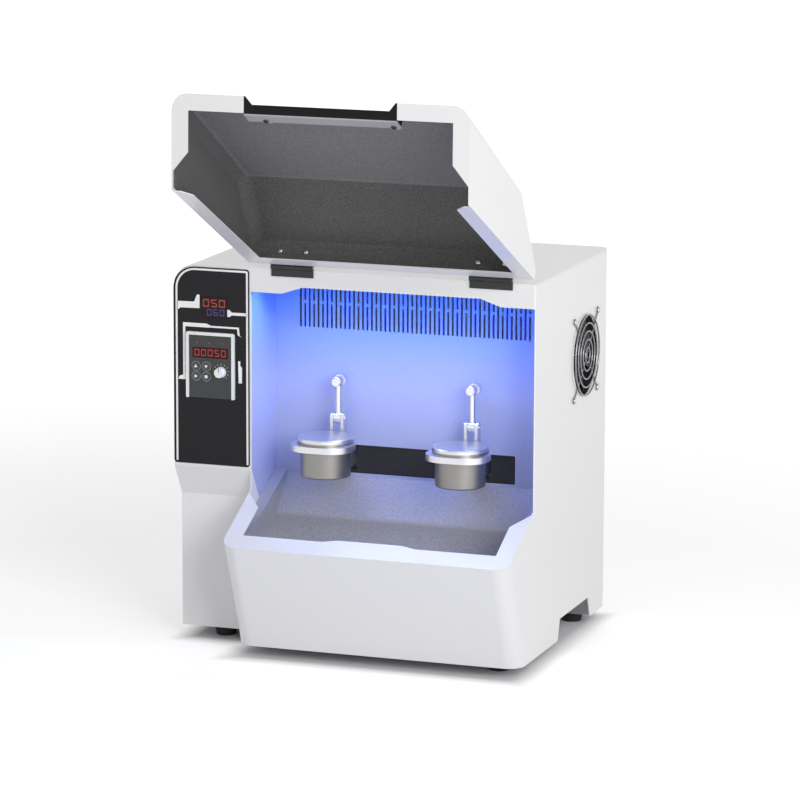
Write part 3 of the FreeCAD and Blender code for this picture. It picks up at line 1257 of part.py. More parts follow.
os.makedirs("parts", exist_ok=True)
for name, shape in model().items():
    shape = whole(shape)
    shape.translate(vec(0, -ORIGIN_Y, 0))
    if not shape.isValid():
        print("not valid:", name)
    shape.exportStep("parts/%s.step" % name)
    print("%-20s solids %d volume %.0f" % (name, len(shape.Solids), shape.Volume))
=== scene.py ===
"""Looks, control panel, fasteners and studio of a vibratory ball mill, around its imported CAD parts."""

import math

import bmesh
import bpy
from bpy.props import FloatProperty, FloatVectorProperty, IntProperty, PointerProperty
from mathutils import Matrix, Vector


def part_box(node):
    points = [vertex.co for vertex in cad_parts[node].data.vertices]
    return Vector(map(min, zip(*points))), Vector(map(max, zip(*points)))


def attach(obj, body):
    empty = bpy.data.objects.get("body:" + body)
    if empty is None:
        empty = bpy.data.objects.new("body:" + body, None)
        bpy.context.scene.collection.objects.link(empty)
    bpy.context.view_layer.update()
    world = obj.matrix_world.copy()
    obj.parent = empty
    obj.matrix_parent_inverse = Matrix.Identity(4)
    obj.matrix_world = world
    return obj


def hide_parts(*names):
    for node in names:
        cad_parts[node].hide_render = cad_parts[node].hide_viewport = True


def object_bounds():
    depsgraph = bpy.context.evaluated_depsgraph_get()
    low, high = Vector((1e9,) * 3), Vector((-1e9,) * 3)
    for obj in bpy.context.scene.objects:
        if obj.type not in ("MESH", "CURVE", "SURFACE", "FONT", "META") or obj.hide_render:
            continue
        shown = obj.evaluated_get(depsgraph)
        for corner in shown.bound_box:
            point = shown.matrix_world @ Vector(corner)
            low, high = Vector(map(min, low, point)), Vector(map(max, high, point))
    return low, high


bl_info = {
    "name": "Vibratory ball mill",
    "version": (1, 0, 0),
    "blender": (4, 5, 0),
    "location": "3D View > Sidebar > Ball Mill",
    "description": "Paint, lit chamber, control panel, fasteners and studio of a vibratory ball mill",
    "category": "Object",
}

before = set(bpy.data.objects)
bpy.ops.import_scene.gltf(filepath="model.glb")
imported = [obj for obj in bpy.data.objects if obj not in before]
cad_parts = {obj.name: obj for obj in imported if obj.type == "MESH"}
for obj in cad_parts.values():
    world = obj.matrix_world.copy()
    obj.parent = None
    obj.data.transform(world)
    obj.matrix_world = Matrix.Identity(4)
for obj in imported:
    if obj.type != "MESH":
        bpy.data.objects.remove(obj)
CAD_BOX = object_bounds()

MM = 0.001
# The casing's front plane is the back of the control panel, and its middle is X = 0.
FRONT_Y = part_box("control_panel")[1].y
KEYPAD_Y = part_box("speed_drive")[0].y
LENS_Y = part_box("timer_display")[0].y
PANEL_LOW, PANEL_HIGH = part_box("control_panel")


def place(x, y, z):
    """A point given in millimetres from the casing's front plane, in the row frame."""
    return Vector((x * MM, FRONT_Y + y * MM, z * MM))


# Painted light: where a colour goes over into another that stands for light, in metres, and how much of it a
# metre:
# painted lamp light up the chamber's walls, and painted light down in the tray's trough and behind the face
# of the lid's lining
PAINTED_LAMP_LIGHT_FROM, PAINTED_LAMP_LIGHT_FADE = 0.345, 8.0
PAINTED_TROUGH_LIGHT_TOP, PAINTED_TROUGH_LIGHT_FADE = 0.165, 18.0
PAINTED_FACE_LIGHT_REACH, PAINTED_FACE_LIGHT_FADE = 0.002, 800.0

# Light bar: clear length at each end, its chips under the upper edge, and the light that stands for them
LAMP_MARGIN = 8 * MM
CHIP_SIZE = (5 * MM, 5 * MM, 1.2 * MM)
CHIP_DROP = 3 * MM
LAMP_WIDTH = 12 * MM
LAMP_DROP = 6 * MM
LAMP_LEAN, SPILL_LEAN = 12.0, -38.0
SPILL_COLOUR = (0.90, 0.93, 1.0)

# Seven-segment figures: the strokes of each, and the share of its bar that a stroke fills
STROKES = {"0": "abcdef", "5": "acdfg", "6": "acdefg"}
STROKE_FILL = 0.94
# Figures, left, right, foot, top, gap and stroke, in millimetres
TIME_FIELD = ("050", -207.3, -176.2, 454.6, 465.0, 2.6, 1.7)
SET_FIELD = ("060", -201.9, -177.2, 443.3, 452.0, 2.2, 1.4)
SPEED_FIELD = ("00050", -218.8, -174.6, 389.2, 398.4, 2.4, 1.4)
SPEED_WINDOW = (-221.6, -171.6, 386.6, 400.8)
STATE_LAMPS = [(x, 406.9) for x in (-215.0, -198.0, -177.6)]

# Printed frame: left, right, foot and head margin inside the panel, and its two head radii
FRAME_MARGINS = (3.2, 1.6, 3.0, 1.8)
FRAME_RADII = (3.0, 27.0)
ARC_STEPS = 8
# Bars that join the displays to the frame, as (x, z) outlines
ACCENTS = [
    [(-244.5, 460.2), (-220.0, 460.6), (-216.0, 470.2), (-212.3, 470.2), (-212.3, 452.2), (-239.5, 451.7),
     (-244.5, 447.6)],
    [(-173.3, 452.2), (-170.1, 452.2), (-166.8, 449.0), (-146.0, 449.2), (-146.0, 445.3), (-166.8, 445.2),
     (-170.2, 442.9), (-173.3, 442.9)],
    [(-236.0, 432.2), (-202.7, 432.2), (-196.3, 429.6), (-157.0, 429.6), (-155.8, 418.8), (-153.4, 416.6),
     (-158.8, 419.4), (-159.6, 427.2), (-197.2, 427.2), (-203.0, 427.0), (-232.6, 427.0), (-232.6, 364.2),
     (-236.0, 362.0)],
    [(-243.0, 356.0), (-241.0, 360.4), (-236.0, 362.0), (-232.6, 364.2), (-231.6, 362.0), (-231.6, 356.0)],
    [(-158.2, 384.7), (-155.0, 384.7), (-155.4, 379.0), (-152.8, 376.0), (-153.0, 355.4), (-157.6, 355.2)],
]

# Keys: the ring printed round each, and its sign about its middle (up, down, start, stop)
HALO_RADII = (6.3, 5.75)
SIGNS = {
    1: [(-2.4, -1.6), (2.4, -1.6), (0, 2.4)],
    2: [(-2.4, 1.6), (0, -2.4), (2.4, 1.6)],
    3: [(-1.6, -2.4), (2.6, 0), (-1.6, 2.4)],
    4: [(-1.9, -1.9), (1.9, -1.9), (1.9, 1.9), (-1.9, 1.9)],
}

# Speed dial: the marks round it, and the pointer let into its face
DIAL_MARKS = 11
DIAL_MARK_R = 10.2 * MM
DIAL_MARK_SIZE = (1.8 * MM, 0.45 * MM, 0.08 * MM)
POINTER = [(-0.42, 0.8), (0.42, 0.8), (0.42, 5.6), (-0.42, 5.6)]
POINTER_SUNK = 0.79
POINTER_DEPTH = 0.5

# Lid: opened by this angle about the hinge pins
LID_OPEN = math.radians(116.5)
HINGE_LINE = Vector((0.0, FRONT_Y - 1.5 * MM, 514 * MM))
# A point and the inward direction of the lining's front face, where it is painted paler as painted light, and
# what follows, are those of the closed lid.
LINING_PAINTED_LIGHT_FACE = ((0, -93.5, 416.8), (0, 0.99827, -0.05873))
BRACKET_FACING = (0, 0.998, -0.059)
HINGE_SCREWS = [(x, -21.0, 506.45) for x in (-100.0, -64.0, 172.0, 208.0)]

# Screw heads: radius, half the pitch of the fan's, depth of the guard's eyes, margins in the rear cover
SCREW_R = 3.6
FAN_SCREW = 52.5 * MM
EYE_DEPTH = 1.9 * MM
COVER_EDGE = 8 * MM
COVER_FOOT = 14 * MM

# Floor: two plans that hold the contact shadow, its core and its fade per metre, the even glow and what is
# added to it far from the mill
SHADOW_PLANS = ((place(-235, 26, 0), place(235, 320, 0)), (place(-142, -54, 0), place(238, 26, 0)))
SHADOW_CORE = 0.1
SHADOW_FADE = 30.0
FLOOR_GLOW = 0.42
FAR_GLOW, FAR_FROM, FAR_FADE = 0.3, 0.8, 0.5
SOFTBOX_AIM = Vector((0, 0, 0.3))


# Node maths


class Value:
    """A socket that can stand in a sum."""

    def __init__(self, net, socket):
        self.net, self.socket = net, socket

    def join(self, operation, a, b):
        made = self.net.node("ShaderNodeMath", {"operation": operation}, {0: a, 1: b})
        return Value(self.net, made.outputs[0])

    def __add__(self, other):
        return self.join("ADD", self, other)

    def __sub__(self, other):
        return self.join("SUBTRACT", self, other)

    def __rsub__(self, other):
        return self.join("SUBTRACT", other, self)

    def __mul__(self, other):
        return self.join("MULTIPLY", self, other)

    def limited(self):
        return Value(self.net, self.net.node("ShaderNodeClamp", {}, {"Value": self}).outputs[0])


class Net:
    """A node tree and the one way in which nodes are added to it."""

    def __init__(self, tree):
        self.tree = tree

    def node(self, kind, settings=None, sockets=None):
        made = self.tree.nodes.new(kind)
        for name, setting in (settings or {}).items():
            setattr(made, name, setting)
        for name, given in (sockets or {}).items():
            given = given.socket if isinstance(given, Value) else given
            if isinstance(given, bpy.types.NodeSocket):
                self.tree.links.new(given, made.inputs[name])
            else:
                made.inputs[name].default_value = given
        return made


class Finish(Net):
    """A material on Object coordinates, ending in one Principled shader."""

    def __init__(self, name, colour, roughness, metallic=0.0, coat=0.0, shine=0.5):
        self.material = bpy.data.materials.new(name)
        self.material.use_nodes = True
        super().__init__(self.material.node_tree)
        self.tree.nodes.clear()
        self.shader = self.node("ShaderNodeBsdfPrincipled", {}, {
            "Base Color": (*colour, 1.0), "Roughness": roughness, "Metallic": metallic, "Coat Weight": coat,
            "Specular IOR Level": shine})
        output = self.node("ShaderNodeOutputMaterial")
        self.tree.links.new(self.shader.outputs[0], output.inputs[0])
        self.material.diffuse_color = (*colour, 1.0)
        self.where = self.node("ShaderNodeTexCoord").outputs["Object"]

    def noise(self, scale, detail=2.0, stretch=(1.0, 1.0, 1.0)):
        spread = self.node("ShaderNodeMapping", {}, {"Vector": self.where, "Scale": stretch})
        made = self.node("ShaderNodeTexNoise", {}, {
            "Vector": spread.outputs[0], "Scale": scale, "Detail": detail})
        return Value(self, made.outputs[0])

    def height(self):
        """The third coordinate, in metres."""
        return Value(self, self.node("ShaderNodeSeparateXYZ", {}, {"Vector": self.where}).outputs[2])

    def set(self, socket, given):
        given = given.socket if isinstance(given, Value) else given
        self.tree.links.new(given, self.shader.inputs[socket])

    def mix(self, factor, *ends):
        """Colour between two ends, each a colour or a socket."""
        low, high = (end if isinstance(end, bpy.types.NodeSocket) else (*end, 1.0) for end in ends)
        return self.node("ShaderNodeMix", {"data_type": "RGBA"}, {0: factor, 6: low, 7: high}).outputs[2]

    def blend(self, factor, low, high):
        self.set("Base Color", self.mix(factor, low, high))

    def bump(self, height, strength, distance):
        made = self.node("ShaderNodeBump", {}, {"Strength": strength, "Distance": distance, "Height": height})
        self.set("Normal", made.outputs[0])

    def glow(self, colour, strength):
        self.shader.inputs["Emission Color"].default_value = (*colour, 1.0)
        self.shader.inputs["Emission Strength"].default_value = strength


def shade(colour, factor):
    return tuple(channel * factor for channel in colour)


def gloss_paint(colour):
    """Powder coat with a faint orange peel."""
    paint = Finish("gloss_paint", colour, 0.3, coat=0.4)
    paint.blend(paint.noise(700.0, 2.0), shade(colour, 0.975), colour)
    paint.set("Roughness", paint.noise(6.0, 1.0) * 0.05 + 0.28)
    paint.bump(paint.noise(800.0, 0.0), 0.06, 0.0001)
    return paint.material


def satin_paint(name, colour, grain, depth, painted_lamp_light=None):
    """Textured paint with a fine speckle, and with painted lamp light, where given: the walls take that
    colour up at the lamp.
    """
    paint = Finish(name, colour, 0.5)
    speckle = paint.noise(grain, 2.0)
    spread = ((speckle - 0.5) * 2.2 + 0.5).limited()
    tone = paint.mix(spread, shade(colour, 1.0 - depth), shade(colour, 1.0 + depth * 0.6))
    if painted_lamp_light is not None:
        # Painted lamp light: the colour goes over into the given one up the walls, towards the lamp.
        tone = paint.mix(((paint.height() - PAINTED_LAMP_LIGHT_FROM) * PAINTED_LAMP_LIGHT_FADE).limited(), tone, painted_lamp_light)
    paint.set("Base Color", tone)
    paint.set("Roughness", spread * 0.15 + 0.42)
    paint.bump(speckle, 0.25, 0.0003)
    return paint.material


def hammered_paint(colour):
    """Paint with a hammered relief, painted a little paler down in the trough as painted light against its
    shade.
    """
    paint = Finish("hammered_paint", colour, 0.4)
    cells = Value(paint, paint.node("ShaderNodeTexVoronoi", {"feature": "SMOOTH_F1"}, {
        "Vector": paint.where, "Scale": 420.0}).outputs[0])
    fine = paint.noise(650.0, 2.0)
    tone = ((fine - 0.5) * 1.6 + 0.4 + cells * 0.3).limited()
    plain, pale = (paint.mix(tone, shade(colour, 0.7 * k), shade(colour, 1.25 * k)) for k in (1.0, 1.45))
    # Painted light: the trough is paler, lifting the shade that falls in it.
    paint.blend(((PAINTED_TROUGH_LIGHT_TOP - paint.height()) * PAINTED_TROUGH_LIGHT_FADE).limited(), plain, pale)
    paint.set("Roughness", fine * 0.2 + 0.3)
    paint.bump(cells + fine * 0.3, 0.35, 0.0005)
    return paint.material


def grained_lining(colour, face, inwards):
    """Damping sheet with a dense pebble grain and pale flecks, with painted light that makes it paler on the
    face through the given point.
    """
    sheet = Finish("grained_lining", colour, 0.75)
    pebble = sheet.noise(640.0, 3.0)
    fleck = ((sheet.noise(1000.0, 1.0) - 0.6) * 6.0).limited()
    tone = ((pebble - 0.5) * 3.0 + 0.4 + fleck * 0.7).limited()
    plain, pale = (sheet.mix(tone, shade(colour, 0.72 * k), shade(colour, 1.6 * k)) for k in (1.0, 1.95))
    across = sheet.node("ShaderNodeVectorMath", {"operation": "DOT_PRODUCT"}, {0: sheet.where, 1: inwards})
    depth = Value(sheet, across.outputs["Value"]) - face.dot(inwards)
    # Painted light: the lining is paler on its front face.
    sheet.blend(((PAINTED_FACE_LIGHT_REACH - depth) * PAINTED_FACE_LIGHT_FADE).limited(), plain, pale)
    sheet.set("Roughness", pebble * 0.25 + 0.6)
    sheet.bump(pebble, 0.4, 0.0005)
    return sheet.material


def moulded(name, colour, roughness, grain=700.0, shine=0.5):
    """Moulded plastic or rubber with a fine spark-eroded grain."""
    plastic = Finish(name, colour, roughness, shine=shine)
    texture = plastic.noise(grain, 3.0)
    plastic.blend(plastic.noise(35.0, 2.0), shade(colour, 0.9), shade(colour, 1.12))
    plastic.set("Roughness", texture * 0.16 + (roughness - 0.08))
    plastic.bump(texture, 0.18, 0.0002)
    return plastic.material


def film(name, colour, roughness):
    """Printed film with a gloss face and faint wipe marks."""
    sheet = Finish(name, colour, roughness, shine=0.2)
    wipes = sheet.noise(18.0, 4.0, (1.0, 1.0, 3.0))
    sheet.blend(sheet.noise(120.0, 2.0), shade(colour, 0.85), shade(colour, 1.2))
    sheet.set("Roughness", wipes * 0.14 + (roughness - 0.05))
    return sheet.material


def metal(name, colour, roughness, stretch, lines=60.0, depth=0.08):
    """Bare metal with tool marks drawn out across the stretch."""
    bare = Finish(name, colour, roughness, metallic=1.0)
    marks = bare.noise(lines, 4.0, stretch)
    bare.blend(marks, shade(colour, 0.88), shade(colour, 1.06))
    bare.set("Roughness", (marks - 0.5) * 0.25 + roughness)
    bare.bump(marks, depth, 0.0001)
    return bare.material


def casting(colour):
    """Painted iron with a sand-cast skin."""
    iron = Finish("casting", colour, 0.6)
    skin = iron.noise(260.0, 5.0)
    iron.blend(skin, shade(colour, 0.7), shade(colour, 1.4))
    iron.set("Roughness", skin * 0.3 + 0.45)
    iron.bump(skin, 0.5, 0.0008)
    return iron.material


def lit(name, colour, strength, base=(0.02, 0.02, 0.02)):
    """A lamp or a lit figure. The cells differ a little in brightness."""
    lamp = Finish(name, base, 0.3)
    lamp.glow(colour, strength)
    cells = lamp.noise(500.0, 1.0)
    lamp.set("Emission Color", lamp.mix(cells, shade(colour, 0.8), colour))
    return lamp.material


# Meshes


def piece(name, mesh, material, body):
    """A finished piece at the origin, riding on its body. With no material, the mesh brings its own."""
    obj = bpy.data.objects.new(name, mesh)
    bpy.context.scene.collection.objects.link(obj)
    if material is not None:
        mesh.materials.clear()
        mesh.materials.append(material)
    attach(obj, body)
    return obj


def wound(form, name):
    """The bmesh as a mesh whose faces point outwards."""
    bmesh.ops.remove_doubles(form, verts=form.verts, dist=1e-7)
    bmesh.ops.recalc_face_normals(form, faces=form.faces)
    mesh = bpy.data.meshes.new(name)
    form.to_mesh(mesh)
    form.free()
    return mesh


def add_plate(form, outline, front, thickness):
    """Plate of (x, z) millimetres whose back lies at the row's y of front."""
    base = [form.verts.new((x * MM, front, z * MM)) for x, z in outline]
    face = form.faces.new(base)
    made = bmesh.ops.extrude_face_region(form, geom=[face])["geom"]
    raised = [v for v in made if isinstance(v, bmesh.types.BMVert)]
    bmesh.ops.translate(form, vec=(0, -thickness * MM, 0), verts=raised)


def add_band(form, outer, inner, front, thickness):
    """Closed band between two outlines with as many points each."""
    rings = []
    for y in (front, front - thickness * MM):
        for loop in (outer, inner):
            rings.append([form.verts.new((x * MM, y, z * MM)) for x, z in loop])
    back_out, back_in, front_out, front_in = rings
    for a, b in ((back_out, back_in), (back_in, front_in), (front_in, front_out), (front_out, back_out)):
        for i in range(len(a)):
            j = (i + 1) % len(a)
            form.faces.new((a[i], a[j], b[j], b[i]))


def rounded(x0, x1, z0, z1, radii, steps=ARC_STEPS):
    """Rectangle with corner radii, from the lower left, anticlockwise."""
    corners = [(x0, z0, 180), (x1, z0, 270), (x1, z1, 0), (x0, z1, 90)]
    points = []
    for (x, z, start), r in zip(corners, radii):
        cx = x + r if x == x0 else x - r
        cz = z + r if z == z0 else z - r
        for i in range(steps + 1):
            a = math.radians(start + 90 * i / steps)
            points.append((cx + r * math.cos(a), cz + r * math.sin(a)))
    return points


def ring(x, z, radius, steps=32):
    return [(x + radius * math.cos(2 * math.pi * i / steps), z + radius * math.sin(2 * math.pi * i / steps))
            for i in range(steps)]


def moved(outline, x, z):
    """An outline given about the origin, about another point."""
    return [(x + u, z + v) for u, v in outline]


def figure(text, x0, x1, z0, z1, gap, stroke):
    """Outlines of seven-segment figures that fill a field."""
    pitch = (x1 - x0 + gap) / len(text)
    w, h, s = pitch - gap, z1 - z0, stroke
    m = h / 2
    bars = {
        "a": [(0, h), (w, h), (w - s, h - s), (s, h - s)],
        "d": [(0, 0), (s, s), (w - s, s), (w, 0)],
        "g": [(s * 0.6, m), (s * 1.1, m + s / 2), (w - s * 1.1, m + s / 2), (w - s * 0.6, m),
              (w - s * 1.1, m - s / 2), (s * 1.1, m - s / 2)],
        "b": [(w, h), (w, m), (w - s / 2, m + s * 0.1), (w - s, m + s * 0.6), (w - s, h - s)],
        "c": [(w, m), (w, 0), (w - s, s), (w - s, m - s * 0.6), (w - s / 2, m - s * 0.1)],
        "e": [(0, m), (s / 2, m - s * 0.1), (s, m - s * 0.6), (s, s), (0, 0)],
        "f": [(0, h), (s, h - s), (s, m + s * 0.6), (s / 2, m + s * 0.1), (0, m)],
    }
    outlines = []
    for i, sign in enumerate(text):
        for bar in STROKES[sign]:
            points = bars[bar]
            cu = sum(p[0] for p in points) / len(points)
            cv = sum(p[1] for p in points) / len(points)
            x, z = x0 + i * pitch + cu, z0 + cv
            outlines.append([(x + (u - cu) * STROKE_FILL, z + (v - cv) * STROKE_FILL) for u, v in points])
    return outlines


def printed(name, outlines, front, thickness, material, body, bands=()):
    """Raised print or a lit figure, on a face that looks forwards."""
    form = bmesh.new()
    for outline in outlines:
        add_plate(form, outline, front, thickness)
    for outer, inner in bands:
        add_band(form, outer, inner, front, thickness)
    return piece(name, wound(form, name), material, body)


def turned(name, profile, steps):
    """Mesh turned about Z from (radius, height) points in millimetres, closed at its ends."""
    form = bmesh.new()
    rings = []
    for r, h in profile:
        spots = ring(0.0, 0.0, r, steps) if r else [(0.0, 0.0)]
        rings.append([form.verts.new((x * MM, y * MM, h * MM)) for x, y in spots])
    for a, b in zip(rings, rings[1:]):
        for i in range(steps):
            j = (i + 1) % steps
            corners = [a[i % len(a)], a[j % len(a)], b[j % len(b)], b[i % len(b)]]
            form.faces.new(list(dict.fromkeys(corners)))
    return wound(form, name)


def screw_head():
    """Domed head, 1 mm in radius, with a cross recess sunk in it."""
    mesh = turned("screw_form", [
        (0, 0), (1.0, 0), (1.0, 0.12), (0.93, 0.27), (0.75, 0.4), (0.5, 0.48), (0.42, 0.5), (0.3, 0.32),
        (0, 0.3)], 16)
    form = bmesh.new()
    form.from_mesh(mesh)
    for i in range(2):
        arm = bmesh.ops.create_cube(form, size=1.0)["verts"]
        turn = Matrix.Rotation(math.pi / 2 * i, 4, "Z")
        shape = Matrix.Diagonal((1.1 * MM, 0.16 * MM, 0.06 * MM, 1.0))
        bmesh.ops.transform(form, matrix=Matrix.Translation((0, 0, 0.47 * MM)) @ turn @ shape, verts=arm)
    form.to_mesh(mesh)
    form.free()
    return bpy.data.objects.new("screw_form", mesh)


# Geometry Nodes


class Rule(Net):
    """A Geometry Nodes tree with named inputs, run once to a plain mesh."""

    def __init__(self, name, inputs):
        super().__init__(bpy.data.node_groups.new(name, "GeometryNodeTree"))
        self.sockets = {}
        self.tree.interface.new_socket("Geometry", in_out="INPUT", socket_type="NodeSocketGeometry")
        for label, (kind, value) in inputs.items():
            item = self.tree.interface.new_socket(label, in_out="INPUT", socket_type=kind)
            self.sockets[label] = (item.identifier, value)
        self.tree.interface.new_socket("Geometry", in_out="OUTPUT", socket_type="NodeSocketGeometry")
        self.given = self.node("NodeGroupInput").outputs

    def finish(self, instances):
        """Make the instances real, give them their material and end the tree."""
        whole = self.node("GeometryNodeRealizeInstances", {}, {0: instances})
        painted = self.node("GeometryNodeSetMaterial", {}, {
            0: whole.outputs[0], "Material": self.given["Material"]})
        end = self.node("NodeGroupOutput")
        self.tree.links.new(painted.outputs[0], end.inputs[0])

    def mesh(self, name, points=None):
        """What the tree makes of the points, or of nothing, as a plain mesh."""
        carrier = bpy.data.objects.new(name, points or bpy.data.meshes.new(name))
        bpy.context.scene.collection.objects.link(carrier)
        modifier = carrier.modifiers.new(name, "NODES")
        modifier.node_group = self.tree
        for identifier, value in self.sockets.values():
            modifier[identifier] = value
        bpy.context.view_layer.update()
        depsgraph = bpy.context.evaluated_depsgraph_get()
        made = bpy.data.meshes.new_from_object(carrier.evaluated_get(depsgraph))
        made.name = name
        bpy.data.objects.remove(carrier)
        return made


def screws(name, places, radius, material, body):
    """Screw heads of a radius in millimetres, set at (point, facing) places."""
    points = bpy.data.meshes.new(name)
    points.from_pydata([p for p, _ in places], [], [])
    facing = points.attributes.new("facing", "FLOAT_VECTOR", "POINT")
    for item, (_, way) in zip(facing.data, places):
        item.vector = way
    form = screw_head()
    rule = Rule("screws", {"Head radius": ("NodeSocketFloat", radius), "Form": ("NodeSocketObject", form),
                           "Material": ("NodeSocketMaterial", material)})
    head = rule.node("GeometryNodeObjectInfo", {}, {"Object": rule.given["Form"]})
    way = rule.node("GeometryNodeInputNamedAttribute", {"data_type": "FLOAT_VECTOR"}, {"Name": "facing"})
    turn = rule.node("FunctionNodeAlignRotationToVector", {"axis": "Z"}, {"Vector": way.outputs[0]})
    spread = rule.node("GeometryNodeInstanceOnPoints", {}, {
        "Points": rule.given["Geometry"], "Instance": head.outputs["Geometry"], "Rotation": turn.outputs[0],
        "Scale": rule.given["Head radius"]})
    rule.finish(spread.outputs[0])
    made = piece(name, rule.mesh(name, points), None, body)
    bpy.data.objects.remove(form)
    return made


def lamp_chips(name, start, step, count, size, material, body):
    """Row of lamp chips along the light bar."""
    rule = Rule("lamp_chips", {"Count": ("NodeSocketInt", count), "Start": ("NodeSocketVector", start),
                               "Step": ("NodeSocketVector", step), "Size": ("NodeSocketVector", size),
                               "Material": ("NodeSocketMaterial", material)})
    line = rule.node("GeometryNodeMeshLine", {}, {
        "Count": rule.given["Count"], "Start Location": rule.given["Start"], "Offset": rule.given["Step"]})
    chip = rule.node("GeometryNodeMeshCube", {}, {"Size": rule.given["Size"]})
    spread = rule.node("GeometryNodeInstanceOnPoints", {}, {
        "Points": line.outputs[0], "Instance": chip.outputs[0]})
    rule.finish(spread.outputs[0])
    return piece(name, rule.mesh(name), None, body)


def dial_marks(name, centre, radius, count, size, material, body):
    """Marks round the speed dial, on an arc of three quarters of a turn."""
    rule = Rule("dial_marks", {"Count": ("NodeSocketInt", count), "Radius": ("NodeSocketFloat", radius),
                               "Centre": ("NodeSocketVector", centre), "Size": ("NodeSocketVector", size),
                               "Material": ("NodeSocketMaterial", material)})
    arc = rule.node("GeometryNodeCurveArc", {}, {
        "Resolution": rule.given["Count"], "Radius": rule.given["Radius"],
        "Start Angle": math.radians(-45.0), "Sweep Angle": math.radians(270.0)})
    points = rule.node("GeometryNodeCurveToPoints", {"mode": "EVALUATED"}, {0: arc.outputs[0]})
    where = rule.node("GeometryNodeInputPosition")
    turn = rule.node("FunctionNodeAlignRotationToVector", {"axis": "X"}, {"Vector": where.outputs[0]})
    bar = rule.node("GeometryNodeMeshCube", {}, {"Size": rule.given["Size"]})
    spread = rule.node("GeometryNodeInstanceOnPoints", {}, {
        "Points": points.outputs[0], "Instance": bar.outputs[0], "Rotation": turn.outputs[0]})
    stood = rule.node("GeometryNodeTransform", {}, {
        "Geometry": spread.outputs[0], "Rotation": (math.radians(90.0), 0.0, 0.0),
        "Translation": rule.given["Centre"]})
    rule.finish(stood.outputs[0])
    return piece(name, rule.mesh(name), None, body)


# Settings


def colour_setting(name, default, description):
    return FloatVectorProperty(
        name=name, description=description, default=default, subtype="COLOR", min=0.0, max=1.0)


def number_setting(name, default, lowest, highest, description):
    return FloatProperty(name=name, description=description, default=default, min=lowest, max=highest)


class MillPaints(bpy.types.PropertyGroup):
    casing: colour_setting("Casing", (0.84, 0.84, 0.845), "Gloss paint of the casing and the lid")
    chamber: colour_setting("Chamber", (0.42, 0.46, 0.66), "Paint of the chamber's walls")
    # Painted lamp light: the chamber's walls take this colour up at the lamp, standing in for the lamp's
    # light on them.
    chamber_painted_lamp_light: colour_setting("Chamber top", (0.12, 0.26, 0.72), "Their colour up at the lamp")
    tray: colour_setting("Tray", (0.36, 0.36, 0.39), "Hammered paint of the drip tray")
    lining: colour_setting("Lining", (0.092, 0.092, 0.089), "Damping sheet inside the lid")
    panel: colour_setting("Panel", (0.010, 0.010, 0.012), "Film of the control panel")


class MillPanel(bpy.types.PropertyGroup):
    line: number_setting("Line", 2.6, 0.5, 6.0, "Width of the printed frame in millimetres")
    print_depth: number_setting("Print", 0.08, 0.02, 0.3, "Thickness of the print in millimetres")
    run_figures: colour_setting("Figures", (0.85, 0.03, 0.025), "Lit figures of the time and of the speed")
    set_figures: colour_setting("Set figures", (0.03, 0.04, 0.50), "Lit figures of the set time")
    figure_strength: number_setting("Brightness", 0.45, 0.0, 5.0, "Emission of the figures")


class MillLamp(bpy.types.PropertyGroup):
    colour: colour_setting("Lamp", (0.0, 0.13, 1.0), "Light of the lamp bar behind the header")
    power: number_setting("Power", 0.55, 0.0, 20.0, "Power of the lamp bar in watts")
    spill: number_setting("Spill", 0.43, 0.0, 20.0, "Power that falls forwards, on the rim")
    chips: IntProperty(name="Chips", description="Lamp chips along the bar", default=34, min=2, max=120)


class MillStudio(bpy.types.PropertyGroup):
    world: number_setting("World", 0.48, 0.0, 2.0, "Strength of the even light")
    key: number_setting("Key", 60.0, 0.0, 400.0, "Power of the key softbox in watts")
    fill: number_setting("Fill", 2.0, 0.0, 400.0, "Power of the fill softbox in watts")
    eye: FloatVectorProperty(name="Eye", description="Place of the camera", default=(1.8855, -5.2288, 1.4180),
                             subtype="TRANSLATION", unit="LENGTH")
    aim: FloatVectorProperty(name="Aim", description="Point in the middle of the picture",
                             default=(0.0665, -0.0294, 0.3479), subtype="TRANSLATION", unit="LENGTH")
    roll: FloatProperty(name="Roll", description="Tilt of the camera about its view",
                        default=math.radians(0.193), subtype="ANGLE")
    lens: FloatProperty(name="Lens", description="Focal length on a 36 mm sensor", default=194.69, min=20.0,
                        max=500.0, unit="CAMERA")


# Pieces


def dress(material, *nodes):
    for name in nodes:
        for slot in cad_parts[name].material_slots:
            slot.material = material


class MILL_OT_casing(bpy.types.Operator):
    """Paint the casing's sheets and finish its feet and underside"""

    bl_idname = "mill.casing"
    bl_label = "Casing"

    def execute(self, context):
        paint = gloss_paint(tuple(context.scene.mill_paints.casing))
        dress(paint, "front_apron", "front_fascia", "casing_left", "casing_right", "casing_top", "rear_cover")
        dress(moulded("foot_rubber", (0.012, 0.012, 0.012), 0.7), "rubber_feet")
        dress(metal("pan_steel", (0.45, 0.46, 0.48), 0.42, (1.0, 12.0, 1.0)), "base_pan")
        dress(casting((0.05, 0.055, 0.065)), "sub_base")
        return {"FINISHED"}


